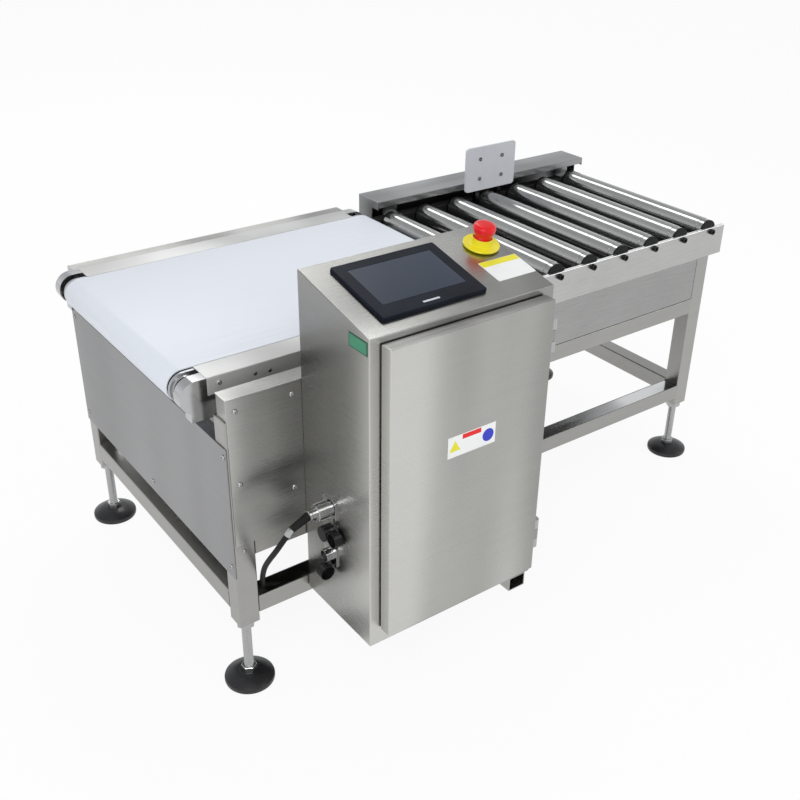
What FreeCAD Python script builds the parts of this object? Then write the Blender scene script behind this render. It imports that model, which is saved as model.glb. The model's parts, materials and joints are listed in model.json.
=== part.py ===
"""Checkweigher with a roller table and a side pusher.

A belt conveyor stands on a load cell in the weigh frame, at the left. The products run on to the
rollers of the table frame, at the right, where a plate pushes the rejected ones over the front rail.
The control cabinet hangs on the front of the weigh frame.

Working datum, in millimetres: X = 0 is the weigh frame's left face, Y = 0 its front face and Z = 0
the floor. X runs with the products and Y to the rear. The finished parts are moved to the middle of
the footprint.
"""
import FreeCAD, Part

import math
import os

V = FreeCAD.Vector
X_AXIS = V(1, 0, 0)
Y_AXIS = V(0, 1, 0)
Z_AXIS = V(0, 0, 1)

# General clearances
RUNNING = 0.05            # radial clearance of a shaft in its bearing
GAP = 0.3                 # clearance between faces that pass each other
SIDE_GAP = 1.0            # clearance beside rollers, drums and pulleys

# Square tube and sheet of both frames
TUBE = 40.0
TUBE_WALL = 2.0
TUBE_CORNER = 3.0
SHEET = 2.0

# Levelling feet
LEG_CLEAR = 145.0         # underside of the legs above the floor
LEG_PLUG = 20.0
PAD_RADIUS = 47.5
PAD_RIM = 10.0
PAD_HEIGHT = 22.0
STUD_RADIUS = 9.0
STUD_SEAT = 12.0          # underside of the stud above the floor
STUD_LENGTH = 178.0
JAM_NUT_FLATS = 30.0
JAM_NUT_HEIGHT = 14.0
COLLAR_FLATS = 26.0
COLLAR_HEIGHT = 12.0

# Weigh frame
WEIGH_LENGTH = 660.0
WEIGH_SIDE = 113.0        # from the belt's edges to the frame's front and rear faces
WEIGH_LEG_TOP = 572.0
TRAY_BOTTOM = 164.0
TRAY_HEIGHT = 36.0
STRETCHER_BOTTOM = 165.0
MID_RAIL_BOTTOM = 294.0
MID_RAIL_HEIGHT = 31.0
END_RAIL_BOTTOM = 257.0
UPPER_RAIL_BOTTOM = 462.0
COVER_TOP = 612.5
COVER_FLANGE = 36.0
COVER_INSET = 3.0         # covers start this far in from the ends of the frame
COVER_TAB = 31.0
END_PANEL_TOP = 522.0
END_PANEL_LIP = 12.0

# Load cell and weigh platform
CELL_LENGTH = 150.0
CELL_WIDTH = 40.0
CELL_HEIGHT = 30.0
CELL_HOLE_RADIUS = 8.0
CELL_HOLE_X = 12.0        # the two joined holes either side of the middle
CELL_SLOT = 4.0
CELL_PAD = 4.0
CELL_PAD_LENGTH = 40.0
CELL_BASE = 5.0
CELL_BASE_LENGTH = 200.0
CELL_BASE_WIDTH = 80.0
CELL_BEAM_SPACING = 160.0
PLATFORM = 4.0
PLATFORM_BAR = 10.0
PLATFORM_BAR_WIDTH = 50.0
PLATFORM_BAR_SPACING = 130.0

# Weigh belt
BELT_WIDTH = 460.0
BELT = 2.5
BELT_NOSE_RADIUS = 30.0   # outside of the belt on the drum
BELT_TOP = 627.0
DRUM_LEFT = -16.0
DRUM_RIGHT_INSET = 12.0   # from the frame's right face to the drive drum's axis
DRUM_SHELL = 4.0
DRUM_END = 12.0
JOURNAL_RADIUS = 10.0
SIDE_PLATE = 6.0
SIDE_PLATE_GAP = 4.0      # from the belt's edge to the side plate
SIDE_PLATE_END = 28.0     # radius of the plate's round ends
SIDE_PLATE_SKIRT = 46.0   # the plate's deep middle starts this far inside the drums
BEARING_RADIUS = 25.0
BEARING_DEPTH = 8.0
SIDE_COVER_WIDTH = 50.0
SIDE_COVER_FACE = 33.0
SIDE_COVER_LIP = 8.0
SIDE_COVER_GAP = 2.0      # from the belt's edge to the cover
NOSE_CAP_WIDTH = 24.0
NOSE_CAP_BACK = 20.0      # from the drum's axis to the joint with the side cover
NOSE_CAP_TOE = 16.0       # how far the cap reaches under the side cover
NOSE_CAP_CHIN = 12.0      # from the drum's axis to the cap's lower outer corner
NOSE_CAP_DROP = 15.0      # below the belt's nose
NOSE_CAP_WALL = 3.0
SLIDER_BED = 2.0
SLIDER_EDGE = 16.0        # depth of the bed's folded edges
SLIDER_SIDE_GAP = 3.0
SLIDER_END_GAP = 6.0      # from the belt's noses to the bed
TIE_BAR_RADIUS = 8.0
TIE_BAR_COUNT = 3

# Belt drive
PULLEY_WIDTH = 8.0
DRIVE_PULLEY_RADIUS = 18.0
MOTOR_PULLEY_RADIUS = 12.0
TOOTH_PITCH = 5.0
TOOTH_RADIUS = 1.1
TIMING_BELT = 2.0
MOTOR_BACK = 103.0        # from the drive drum's axis to the motor's
MOTOR_DROP = 82.0
MOTOR_RADIUS = 28.0
MOTOR_CAN_STEP = 3.0
MOTOR_LENGTH = 120.0
MOTOR_LOBE = 6.0          # side plate round the motor
GEARBOX_LENGTH = 42.0
MOTOR_SHAFT_RADIUS = 5.0
MOTOR_SHAFT_GRIP = 12.0

# Table frame
FRAME_SPACING = 69.0      # between the two frames
TABLE_LENGTH = 585.0
TABLE_SIDE = 6.0          # from the belt's edges to the faces of the roller rails
TABLE_BACK = 61.0         # from the rear rail's face to the frame's rear face
TABLE_LEG_TOP = 534.5
TABLE_MID_BOTTOM = 394.5
TABLE_MID_HEIGHT = 38.5
SKIRT_RETURN = 15.0
FRAME_TIE_INSET = 93.0    # from the table's front and rear faces to the ties

# Roller rails
RAIL_HEIGHT = 68.5
RAIL_OVERHANG = 38.0
FRONT_RAIL_FLANGE = 8.0
REAR_RAIL_FLANGE = 24.0
RAIL_BEND = 1.6

# Rollers
ROLLER_COUNT = 7
ROLLER_END_SPACE = 44.9   # from the rails' ends to the first and last axles
ROLLER_RADIUS = 25.0
ROLLER_WALL = 1.5
FRONT_CAP_LENGTH = 18.0
REAR_CAP_LENGTH = 16.0
CAP_PLUG = 12.0           # length of the cap inside the tube
CAP_RADIUS = 24.0
AXLE_RADIUS = 6.0
AXLE_SCREW_RADIUS = 4.0
AXLE_SCREW_DEPTH = 12.0
SCREW_HEAD_RADIUS = 6.5
SCREW_HEAD = 7.0
SCREW_KEY_FLATS = 6.0
SCREW_KEY_DEPTH = 4.0

# Cover over the rear roller rail
GUIDE_INSET = 10.0        # from the rails' left ends to the cover
GUIDE_TOP = 645.0
GUIDE_DEPTH = 80.0
GUIDE_DROP = 15.0
GUIDE_END_BOTTOM = 560.0
GUIDE_NOTCH_TOP = 626.0
GUIDE_BRACKET_WIDTH = 40.0
GUIDE_BRACKET_INSET = 50.0

# Pusher
PUSHER_ROLLER = 3         # the posts straddle this roller, counted from 0 at the belt
PLATE_WIDTH = 153.0
PLATE_HEIGHT = 107.0
PLATE = 5.0
PLATE_BOTTOM = 627.0
PLATE_CORNER = 8.0
PLATE_BOLT_X = 34.0       # bolts and posts either side of the middle
PLATE_BOLT_Z = 24.0
PLATE_BOLT_RADIUS = 3.0
PLATE_BOLT_HEAD = 4.5
PLATE_BOLT_HEAD_HEIGHT = 2.0
POST_WIDTH = 12.0
POST_DEPTH = 10.0
POST_CLEAR = 3.0          # from the posts to the rear roller rail
BRIDGE = 8.0
BRIDGE_DEPTH = 40.0
CYLINDER = 50.0
CYLINDER_CAP = 25.0
CYLINDER_CORNER = 4.0
CYLINDER_GROOVE = 8.0
CYLINDER_GROOVE_DEPTH = 4.0
CYLINDER_FOOT = 12.0
CYLINDER_FOOT_WIDTH = 84.0
CYLINDER_FOOT_DEPTH = 30.0
CYLINDER_END_GAP = 3.0    # from the cylinder's ends to the skirt panels
CARRIAGE_LENGTH = 60.0
CARRIAGE = 17.7
CARRIAGE_SIDE = 5.0
CARRIAGE_WRAP = 20.0

# Cabinet
CABINET_RIGHT_INSET = 152.0   # from the frame's right face to the cabinet
CABINET_WIDTH = 364.5
CABINET_DEPTH = 200.0
CABINET_BOTTOM = 177.0
CABINET_FRONT_TOP = 762.0
CABINET_BACK_TOP = 806.0
CABINET_EDGE = 1.8
CABINET_RIM = 30.0        # rim of the cabinet round its door opening
BRACKET_WIDTH = 38.0
BRACKET_DEPTH = 100.0
BRACKET_HEIGHT = 29.0
BRACKET_INSET = 10.0
DOOR_INSET = 20.0
DOOR_DEPTH = 24.0
DOOR_BOTTOM = 209.0
DOOR_TOP = 751.0
DOOR_LIP = 18.0
DOOR_CORNER = 1.8
GASKET = 3.0
GASKET_WIDTH = 12.0
HINGE_RADIUS = 7.0
HINGE_PIN_RADIUS = 3.0
HINGE_HEIGHT = 61.0
HINGE_OFFSET = 201.0      # hinges above and below the door's middle
HINGE_OUT = 10.2          # axis beyond the door's edge
HINGE_BACK = 13.0         # axis behind the door's front
HINGE_LEAF = 14.0
HINGE_ARM = 6.0

# Operator panel
HMI_LEFT = 43.5
HMI_LOW = 29.0
HMI_WIDTH = 202.0
HMI_HEIGHT = 150.0
HMI_BEZEL = 7.0
HMI_CORNER = 4.0
HMI_EDGE = 1.2
HMI_BACK = 35.0
HMI_STEP = 11.0           # bezel beyond the cut-out
SCREEN_SIDE = 20.0
SCREEN_LOW = 30.0
SCREEN_HIGH = 19.5
SCREEN_GLASS = 1.2
SCREEN_SINK = 0.5

# Emergency stop
ESTOP_ACROSS = 324.0      # from the cabinet's left side
ESTOP_UP = 144.0          # up the slope from the cabinet's front
ESTOP_RING_RADIUS = 31.5
ESTOP_RING_TOP = 6.0
ESTOP_RING_RIM = 3.0        # the rim's thickness
ESTOP_RING_BEVEL = 4.0
ESTOP_COLLAR_RADIUS = 17.5
ESTOP_COLLAR_TOP = 18.0
ESTOP_FLOOR = 5.0
ESTOP_HEAD_RADIUS = 19.5
ESTOP_NECK_RADIUS = 15.5
ESTOP_NECK = 13.0
ESTOP_HEAD_TOP = 43.0
# The head's outline, from its rim's radius and its crown
ESTOP_CROWN = ((-1.5, -16.0), (0.0, -11.0), (0.0, -6.0), (-2.0, -3.0), (-6.0, -1.0))
ESTOP_HEAD_SOLID = 10.0   # head above the stem's end
ESTOP_BARREL_RADIUS = 11.0
ESTOP_BARREL = 24.0
ESTOP_NUT_RADIUS = 17.0
ESTOP_NUT = 6.0
ESTOP_STEM_RADIUS = 5.0
ESTOP_BLOCK = 30.0
ESTOP_BLOCK_DEPTH = 26.0
ESTOP_PRESS = 4.0

# Control gear inside the cabinet, as width, depth and height
GEAR_MARGIN = 22.0
GEAR_PLATE = 3.0
GEAR_STANDOFF = 8.0
GEAR_STANDOFF_RADIUS = 6.0
DIN_RAIL = 35.0
DIN_RAIL_DEPTH = 7.5
UPPER_DIN_RAIL = 640.0
LOWER_DIN_RAIL = 330.0
SUPPLY = (50.0, 95.0, 125.0)
SUPPLY_VENT_COUNT = 4
SUPPLY_VENT_DEPTH = 4.0
SUPPLY_VENT_MARGIN = 12.0
DRIVE = (75.0, 110.0, 150.0)
DRIVE_FIN_COUNT = 5
DRIVE_FIN_PITCH = 12.0
DRIVE_FIN_DEPTH = 3.0
DRIVE_FIN_MARGIN = 15.0
DRIVE_WINDOW = (12.0, 35.0, 20.0)   # side margin, height and margin at the top
CONTROLLER = (105.0, 62.0, 100.0)
CONTROLLER_MODULE_COUNT = 3
TERMINAL = (15.0, 42.0, 52.0)
TERMINAL_COUNT = 7
GEAR_SPACING = 20.0
GEAR_SEAM = 1.0
GEAR_SEAM_DEPTH = 8.0

# Signal sockets, dust caps and plug
SOCKET_Y = -84.0
SOCKET_TOP_Z = 400.0
SOCKET_PITCH = 48.0
SOCKET_COUNT = 3
SOCKET_FLANGE = 40.0
SOCKET_FLANGE_CORNER = 4.0
SOCKET_FLANGE_THICKNESS = 3.0
SOCKET_RADIUS = 12.5
SOCKET_BORE_RADIUS = 10.0
SOCKET_LENGTH = 13.0
SOCKET_TAIL_RADIUS = 11.5
SOCKET_TAIL = 22.0
COUPLING_RADIUS = 15.5
COUPLING_GRIP = 9.5
COUPLING_LENGTH = 24.0
BACKSHELL_RADIUS = 10.5
BACKSHELL_LENGTH = 14.0
BOOT_RADIUS = 8.0
BOOT_TIP_RADIUS = 6.5
BOOT_REACH = V(-34, 0, -14.5)
FERRULE_RADIUS = 7.0
FERRULE_REACH = V(-7.2, 1.4, -9.5)
DUST_CAP_RADIUS = 14.0
DUST_CAP = 15.0
DUST_CAP_END = 3.0
STRAP_RADIUS = 1.6
STRAP_INSET = 5.0
CAP_CLEAR = 0.5           # from a hanging cap to the cabinet and the next cap
CAP_SWAY = 7.0            # how far the lowest cap hangs to the front of its socket

# Signal cable
CABLE_RADIUS = 5.0
GLAND_X = 165.0
GLAND_RADIUS = 8.5
GLAND_LENGTH = 15.0
GLAND_PLATE = 3.0
GLAND_CLEAR = 0.5         # from the gland to the tray's floor

# Places that follow from the sizes
WEIGH_DEPTH = BELT_WIDTH + 2 * WEIGH_SIDE
WEIGH_MIDDLE = WEIGH_DEPTH / 2
DRUM_RIGHT = WEIGH_LENGTH - DRUM_RIGHT_INSET
BELT_FRONT = WEIGH_MIDDLE - BELT_WIDTH / 2
BELT_REAR = WEIGH_MIDDLE + BELT_WIDTH / 2
DRUM_Z = BELT_TOP - BELT_NOSE_RADIUS
MOTOR_X = DRUM_RIGHT - MOTOR_BACK
MOTOR_Z = DRUM_Z - MOTOR_DROP
DRUM_RADIUS = BELT_NOSE_RADIUS - BELT - GAP
PLATE_INNER = BELT_FRONT - SIDE_PLATE_GAP
PLATE_OUTER = PLATE_INNER - SIDE_PLATE
BEARING_OUTER = PLATE_OUTER - BEARING_DEPTH
SIDE_OUTER = BELT_FRONT - SIDE_COVER_GAP - SIDE_COVER_WIDTH
BED_TOP = BELT_TOP - BELT - GAP
TRAY_TOP = TRAY_BOTTOM + TRAY_HEIGHT
MID_RAIL_TOP = MID_RAIL_BOTTOM + MID_RAIL_HEIGHT
UPPER_RAIL_TOP = UPPER_RAIL_BOTTOM + TUBE
CELL_BOTTOM = UPPER_RAIL_TOP + CELL_BASE + CELL_PAD
CELL_TOP = CELL_BOTTOM + CELL_HEIGHT
PLATFORM_BOTTOM = CELL_TOP + CELL_PAD
BAR_BOTTOM = PLATFORM_BOTTOM + PLATFORM
TABLE_LEFT = WEIGH_LENGTH + FRAME_SPACING
TABLE_RIGHT = TABLE_LEFT + TABLE_LENGTH
TABLE_FRONT = BELT_FRONT - TABLE_SIDE
REAR_RAIL_FACE = BELT_REAR + TABLE_SIDE
TABLE_REAR = REAR_RAIL_FACE + TABLE_BACK
TABLE_DEPTH = TABLE_REAR - TABLE_FRONT
TABLE_MID_TOP = TABLE_MID_BOTTOM + TABLE_MID_HEIGHT
RAIL_BOTTOM = TABLE_LEG_TOP
RAIL_TOP = RAIL_BOTTOM + RAIL_HEIGHT
RAIL_LEFT = TABLE_LEFT - RAIL_OVERHANG
RAIL_RIGHT = TABLE_RIGHT + RAIL_OVERHANG
ROLLER_PITCH = (RAIL_RIGHT - RAIL_LEFT - 2 * ROLLER_END_SPACE) / (ROLLER_COUNT - 1)
ROLLER_X = [RAIL_LEFT + ROLLER_END_SPACE + ROLLER_PITCH * i for i in range(ROLLER_COUNT)]
ROLLER_Z = RAIL_TOP - SHEET - SCREW_HEAD_RADIUS - GAP
PUSHER_X = ROLLER_X[PUSHER_ROLLER]
GUIDE_LEFT = RAIL_LEFT + GUIDE_INSET
GUIDE_FRONT = REAR_RAIL_FACE - SIDE_GAP
GUIDE_BACK = GUIDE_FRONT + GUIDE_DEPTH
POST_BACK = REAR_RAIL_FACE - POST_CLEAR
POST_FRONT = POST_BACK - POST_DEPTH
CABINET_RIGHT = WEIGH_LENGTH - CABINET_RIGHT_INSET
CABINET_LEFT = CABINET_RIGHT - CABINET_WIDTH
CABINET_BACK = -SHEET
CABINET_FRONT = CABINET_BACK - CABINET_DEPTH
SLOPE = math.degrees(math.atan2(CABINET_BACK_TOP - CABINET_FRONT_TOP, CABINET_DEPTH))
DOOR_LEFT = CABINET_LEFT + DOOR_INSET
DOOR_RIGHT = CABINET_RIGHT - DOOR_INSET
DOOR_BACK = CABINET_FRONT - GASKET
DOOR_FRONT = DOOR_BACK - DOOR_DEPTH
HINGE_X = DOOR_RIGHT + HINGE_OUT
HINGE_Y = DOOR_FRONT + HINGE_BACK
HINGE_MIDDLES = [(DOOR_BOTTOM + DOOR_TOP) / 2 + side * HINGE_OFFSET for side in (-1, 1)]
SOCKET_FACE = CABINET_LEFT - SOCKET_FLANGE_THICKNESS
SOCKET_MOUTH = SOCKET_FACE - SOCKET_LENGTH
SOCKET_HEIGHTS = [SOCKET_TOP_Z - SOCKET_PITCH * i for i in range(SOCKET_COUNT)]
GLAND_Z = TRAY_BOTTOM + SHEET + GLAND_RADIUS + GLAND_CLEAR
FOOTPRINT_X = (DRUM_LEFT - BELT_NOSE_RADIUS, RAIL_RIGHT)
FOOTPRINT_Y = (DOOR_FRONT, WEIGH_DEPTH - TUBE / 2 + PAD_RADIUS)
TO_MIDDLE = V(-sum(FOOTPRINT_X) / 2, -sum(FOOTPRINT_Y) / 2, 0)


def box(x0, x1, y0, y1, z0, z1):
    return Part.makeBox(x1 - x0, y1 - y0, z1 - z0, V(x0, y0, z0))


def rod(radius, start, end):
    start, end = V(*start), V(*end)
    return Part.makeCylinder(radius, (end - start).Length, start, end - start)


def face_of(points):
    return Part.Face(Part.makePolygon([V(*p) for p in points] + [V(*points[0])]))


def hexagon(flats, height, centre, axis=Z_AXIS):
    corner = flats / math.sqrt(3)
    angles = [math.radians(60 * i) for i in range(6)]
    outline = [(corner * math.cos(a), corner * math.sin(a), 0) for a in angles]
    solid = face_of(outline).extrude(V(0, 0, height))
    solid.Placement = FreeCAD.Placement(V(*centre), FreeCAD.Rotation(Z_AXIS, axis))
    return solid


def along(shape, axis):
    """The straight edges of a shape that run along one axis."""
    edges = []
    for edge in shape.Edges:
        if isinstance(edge.Curve, Part.Line):
            direction = edge.Vertexes[-1].Point - edge.Vertexes[0].Point
            if abs(direction.normalize().dot(axis)) > 0.999:
                edges.append(edge)
    return edges


def square_tube(x0, x1, y0, y1, z0, z1, axis):
    """A tube with round corners along one axis, open at both ends."""
    outer = box(x0, x1, y0, y1, z0, z1)
    outer = outer.makeFillet(TUBE_CORNER, along(outer, axis))
    wall = [TUBE_WALL * (1 - abs(c)) for c in axis]
    return outer.cut(box(x0 + wall[0], x1 - wall[0], y0 + wall[1], y1 - wall[1], z0 + wall[2], z1 - wall[2]))


def to_rear(shape):
    """The rear copy of a piece at the front of the weigh frame."""
    return shape.mirror(V(0, WEIGH_MIDDLE, 0), Y_AXIS)


def save(name, *solids):
    """Writes one node, moved from the working datum to the middle of the footprint."""
    group = Part.makeCompound([s.copy() for s in solids]) if len(solids) > 1 else solids[0].copy()
    group.translate(TO_MIDDLE)
    group.exportStep(f"parts/{name}.step")


def leg_corners(x0, y0, length, depth):
    """The corner nearest the datum of each of a frame's four legs."""
    return [(x0 + i * (length - TUBE), y0 + j * (depth - TUBE)) for j in (0, 1) for i in (0, 1)]


WEIGH_LEGS = leg_corners(0, 0, WEIGH_LENGTH, WEIGH_DEPTH)
TABLE_LEGS = leg_corners(TABLE_LEFT, TABLE_FRONT, TABLE_LENGTH, TABLE_DEPTH)


# Legs: square tubes with a threaded plug at the foot and a lid at the top
def leg(x, y, top):
    tube = square_tube(x, x + TUBE, y, y + TUBE, LEG_CLEAR, top, Z_AXIS)
    inside = (x + TUBE_WALL, x + TUBE - TUBE_WALL, y + TUBE_WALL, y + TUBE - TUBE_WALL)
    plug = box(*inside, LEG_CLEAR, LEG_CLEAR + LEG_PLUG)
    lid = box(*inside, top - TUBE_WALL, top)
    middle = (x + TUBE / 2, y + TUBE / 2)
    bore = rod(STUD_RADIUS + RUNNING, (*middle, LEG_CLEAR - 1), (*middle, LEG_CLEAR + LEG_PLUG + 1))
    return tube.fuse([plug, lid]).cut(bore).removeSplitter()


def jam_nut(x, y):
    centre = (x + TUBE / 2, y + TUBE / 2)
    low = LEG_CLEAR - JAM_NUT_HEIGHT
    nut = hexagon(JAM_NUT_FLATS, JAM_NUT_HEIGHT, (*centre, low))
    return nut.cut(rod(STUD_RADIUS + RUNNING, (*centre, low - 1), (*centre, LEG_CLEAR + 1)))


def foot(x, y):
    """A domed pad, the threaded stud that swivels in it, and the hexagon collar that turns the stud."""
    shoulder = V(COLLAR_FLATS / 2 + 4, 0, PAD_HEIGHT)
    rim = V(PAD_RADIUS, 0, PAD_RIM)
    crown = V((PAD_RADIUS + shoulder.x) / 2 + 4, 0, PAD_RIM + (PAD_HEIGHT - PAD_RIM) * 0.72)
    low = [V(0, 0, 0), V(PAD_RADIUS - 2, 0, 0), V(PAD_RADIUS, 0, 2), rim]
    high = [shoulder, V(0, 0, PAD_HEIGHT), V(0, 0, 0)]
    dome = Part.Arc(rim, crown, shoulder).toShape()
    edges = Part.makePolygon(low).Edges + [dome] + Part.makePolygon(high).Edges
    pad = Part.Face(Part.Wire(edges)).revolve(V(0, 0, 0), Z_AXIS, 360)
    stud = rod(STUD_RADIUS, (0, 0, STUD_SEAT), (0, 0, STUD_SEAT + STUD_LENGTH))
    collar = hexagon(COLLAR_FLATS, COLLAR_HEIGHT, (0, 0, PAD_HEIGHT))
    group = [pad.cut(stud), stud, collar.cut(stud)]
    for solid in group:
        solid.translate(V(x + TUBE / 2, y + TUBE / 2, 0))
    return group


def make_legs_and_feet():
    save("weigh_legs", *[leg(x, y, WEIGH_LEG_TOP) for x, y in WEIGH_LEGS])
    save("table_legs", *[leg(x, y, TABLE_LEG_TOP) for x, y in TABLE_LEGS])
    save("jam_nuts", *[jam_nut(x, y) for x, y in WEIGH_LEGS + TABLE_LEGS])
    for frame, corners in (("weigh", WEIGH_LEGS), ("table", TABLE_LEGS)):
        for place, (x, y) in zip(("front_left", "front_right", "rear_left", "rear_right"), corners):
            save(f"{frame}_foot_{place}", *foot(x, y))


# Rails of both frames
def make_rails():
    right, rear = WEIGH_LENGTH, WEIGH_DEPTH
    rails = []
    for low, high in ((MID_RAIL_BOTTOM, MID_RAIL_TOP), (UPPER_RAIL_BOTTOM, UPPER_RAIL_TOP)):
        for y in (0, rear - TUBE):
            rails.append(square_tube(TUBE, right - TUBE, y, y + TUBE, low, high, X_AXIS))
    crossings = [(x, low) for x in (0, right - TUBE)
                 for low in (STRETCHER_BOTTOM, END_RAIL_BOTTOM, UPPER_RAIL_BOTTOM)]
    crossings += [((right + side * CELL_BEAM_SPACING - TUBE) / 2, UPPER_RAIL_BOTTOM) for side in (-1, 1)]
    for x, low in crossings:
        rails.append(square_tube(x, x + TUBE, TUBE, rear - TUBE, low, low + TUBE, Y_AXIS))
    save("weigh_rails", *rails)

    rails = []
    for y in (TABLE_FRONT, TABLE_REAR - TUBE):
        rails.append(square_tube(TABLE_LEFT + TUBE, TABLE_RIGHT - TUBE, y, y + TUBE,
                                 TABLE_MID_BOTTOM, TABLE_MID_TOP, X_AXIS))
    for x in (TABLE_LEFT, TABLE_RIGHT - TUBE):
        for low in (STRETCHER_BOTTOM, UPPER_RAIL_BOTTOM):
            rails.append(square_tube(x, x + TUBE, TABLE_FRONT + TUBE, TABLE_REAR - TUBE,
                                     low, low + TUBE, Y_AXIS))
    for y in (TABLE_FRONT + FRAME_TIE_INSET, TABLE_REAR - FRAME_TIE_INSET - TUBE):
        rails.append(square_tube(WEIGH_LENGTH + SHEET, TABLE_LEFT, y, y + TUBE,
                                 UPPER_RAIL_BOTTOM, UPPER_RAIL_TOP, X_AXIS))
    save("table_rails", *rails)


def tray(x0, x1, y):
    """A channel, open at the top, that ties two legs and carries cables."""
    channel = box(x0, x1, y, y + TUBE, TRAY_BOTTOM, TRAY_TOP)
    return channel.cut(box(x0, x1, y + SHEET, y + TUBE - SHEET, TRAY_BOTTOM + SHEET, TRAY_TOP + 1))


def tray_gland():
    """The bulkhead in the front tray and the gland that takes the signal cable."""
    wall_x = GLAND_X + GLAND_LENGTH
    wall = box(wall_x, wall_x + GLAND_PLATE, SHEET, TUBE - SHEET, TRAY_BOTTOM + SHEET, TRAY_TOP - SHEET)
    gland = rod(GLAND_RADIUS, (GLAND_X, TUBE / 2, GLAND_Z), (wall_x, TUBE / 2, GLAND_Z))
    return wall.fuse(gland).removeSplitter()


def make_trays():
    trays = [tray(TUBE, WEIGH_LENGTH - TUBE, y) for y in (0, WEIGH_DEPTH - TUBE)]
    trays += [tray(TABLE_LEFT + TUBE, TABLE_RIGHT - TUBE, y) for y in (TABLE_FRONT, TABLE_REAR - TUBE)]
    save("cable_trays", *trays, tray_gland())


# Sheet covers of the weigh frame
def front_cover():
    x0, x1 = COVER_INSET, WEIGH_LENGTH - COVER_INSET
    face = box(x0, x1, -SHEET, 0, MID_RAIL_TOP, COVER_TOP)
    flange = box(x0, x1, -SHEET, COVER_FLANGE, COVER_TOP - SHEET, COVER_TOP)
    tabs = [box(x, x + SHEET, -SHEET, COVER_TAB, WEIGH_LEG_TOP, COVER_TOP) for x in (x0, x1 - SHEET)]
    cover = face.fuse([flange] + tabs).removeSplitter()
    bend = [e for e in along(cover, X_AXIS)
            if e.CenterOfMass.y < -SHEET + 0.01 and e.CenterOfMass.z > COVER_TOP - 0.01]
    return cover.makeFillet(SHEET * 0.9, bend)


def end_panel(face_x, inward):
    """A panel over one end of the frame, with lips folded in between the legs."""
    def sheet(y0, y1, z0, z1, depth):
        x0, x1 = sorted((face_x - inward * SHEET, face_x + inward * depth))
        return box(x0, x1, y0, y1, z0, z1)
    bottom = END_RAIL_BOTTOM - SHEET
    face = sheet(0, WEIGH_DEPTH, bottom, END_PANEL_TOP, 0)
    lips = [sheet(TUBE + SIDE_GAP, WEIGH_DEPTH - TUBE - SIDE_GAP, z, z + SHEET, END_PANEL_LIP)
            for z in (bottom, END_PANEL_TOP - SHEET)]
    return face.fuse(lips).removeSplitter()


def make_weigh_panels():
    front = front_cover()
    save("weigh_covers", front, to_rear(front))
    save("weigh_end_panels", end_panel(0, 1), end_panel(WEIGH_LENGTH, -1))


# Load cell on the two cross beams, and the platform that it carries
def make_load_cell():
    middle = WEIGH_LENGTH / 2
    x0, x1 = middle - CELL_LENGTH / 2, middle + CELL_LENGTH / 2
    width = (WEIGH_MIDDLE - CELL_WIDTH / 2, WEIGH_MIDDLE + CELL_WIDTH / 2)
    base_length = (middle - CELL_BASE_LENGTH / 2, middle + CELL_BASE_LENGTH / 2)
    base_width = (WEIGH_MIDDLE - CELL_BASE_WIDTH / 2, WEIGH_MIDDLE + CELL_BASE_WIDTH / 2)
    base = box(*base_length, *base_width, UPPER_RAIL_TOP, UPPER_RAIL_TOP + CELL_BASE)
    fixed_pad = box(x0, x0 + CELL_PAD_LENGTH, *width, UPPER_RAIL_TOP + CELL_BASE, CELL_BOTTOM)
    live_pad = box(x1 - CELL_PAD_LENGTH, x1, *width, CELL_TOP, PLATFORM_BOTTOM)
    cell = box(x0, x1, *width, CELL_BOTTOM, CELL_TOP)
    centre_z = (CELL_BOTTOM + CELL_TOP) / 2
    holes = [rod(CELL_HOLE_RADIUS, (x, width[0] - 1, centre_z), (x, width[1] + 1, centre_z))
             for x in (middle - CELL_HOLE_X, middle + CELL_HOLE_X)]
    slot = box(middle - CELL_HOLE_X, middle + CELL_HOLE_X, width[0] - 1, width[1] + 1,
               centre_z - CELL_SLOT / 2, centre_z + CELL_SLOT / 2)
    save("load_cell", base.fuse(fixed_pad).removeSplitter(), cell.cut(holes + [slot]), live_pad)

    plate = box(*base_length, *base_width, PLATFORM_BOTTOM, BAR_BOTTOM)
    bars = []
    for side in (-1, 1):
        x = middle + side * PLATFORM_BAR_SPACING / 2
        bars.append(box(x - PLATFORM_BAR_WIDTH / 2, x + PLATFORM_BAR_WIDTH / 2,
                        PLATE_INNER, WEIGH_DEPTH - PLATE_INNER, BAR_BOTTOM, BAR_BOTTOM + PLATFORM_BAR))
    save("weigh_platform", plate.fuse(bars).removeSplitter())


# Belt conveyor
def racetrack(radius, y0, y1):
    """A straight solid round both drums."""
    middle = box(DRUM_LEFT, DRUM_RIGHT, y0, y1, DRUM_Z - radius, DRUM_Z + radius)
    ends = [rod(radius, (x, y0, DRUM_Z), (x, y1, DRUM_Z)) for x in (DRUM_LEFT, DRUM_RIGHT)]
    return middle.fuse(ends).removeSplitter()


def side_plate():
    """The front plate that carries the drums and the bed."""
    deep = box(DRUM_LEFT + SIDE_PLATE_SKIRT, DRUM_RIGHT - SIDE_PLATE_SKIRT, PLATE_OUTER, PLATE_INNER,
               BAR_BOTTOM, DRUM_Z)
    plate = racetrack(SIDE_PLATE_END, PLATE_OUTER, PLATE_INNER).fuse(deep).removeSplitter()
    holes = [rod(JOURNAL_RADIUS + SIDE_GAP, (x, PLATE_OUTER - 1, DRUM_Z), (x, PLATE_INNER + 1, DRUM_Z))
             for x in (DRUM_LEFT, DRUM_RIGHT)]
    return plate.cut(holes)


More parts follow.
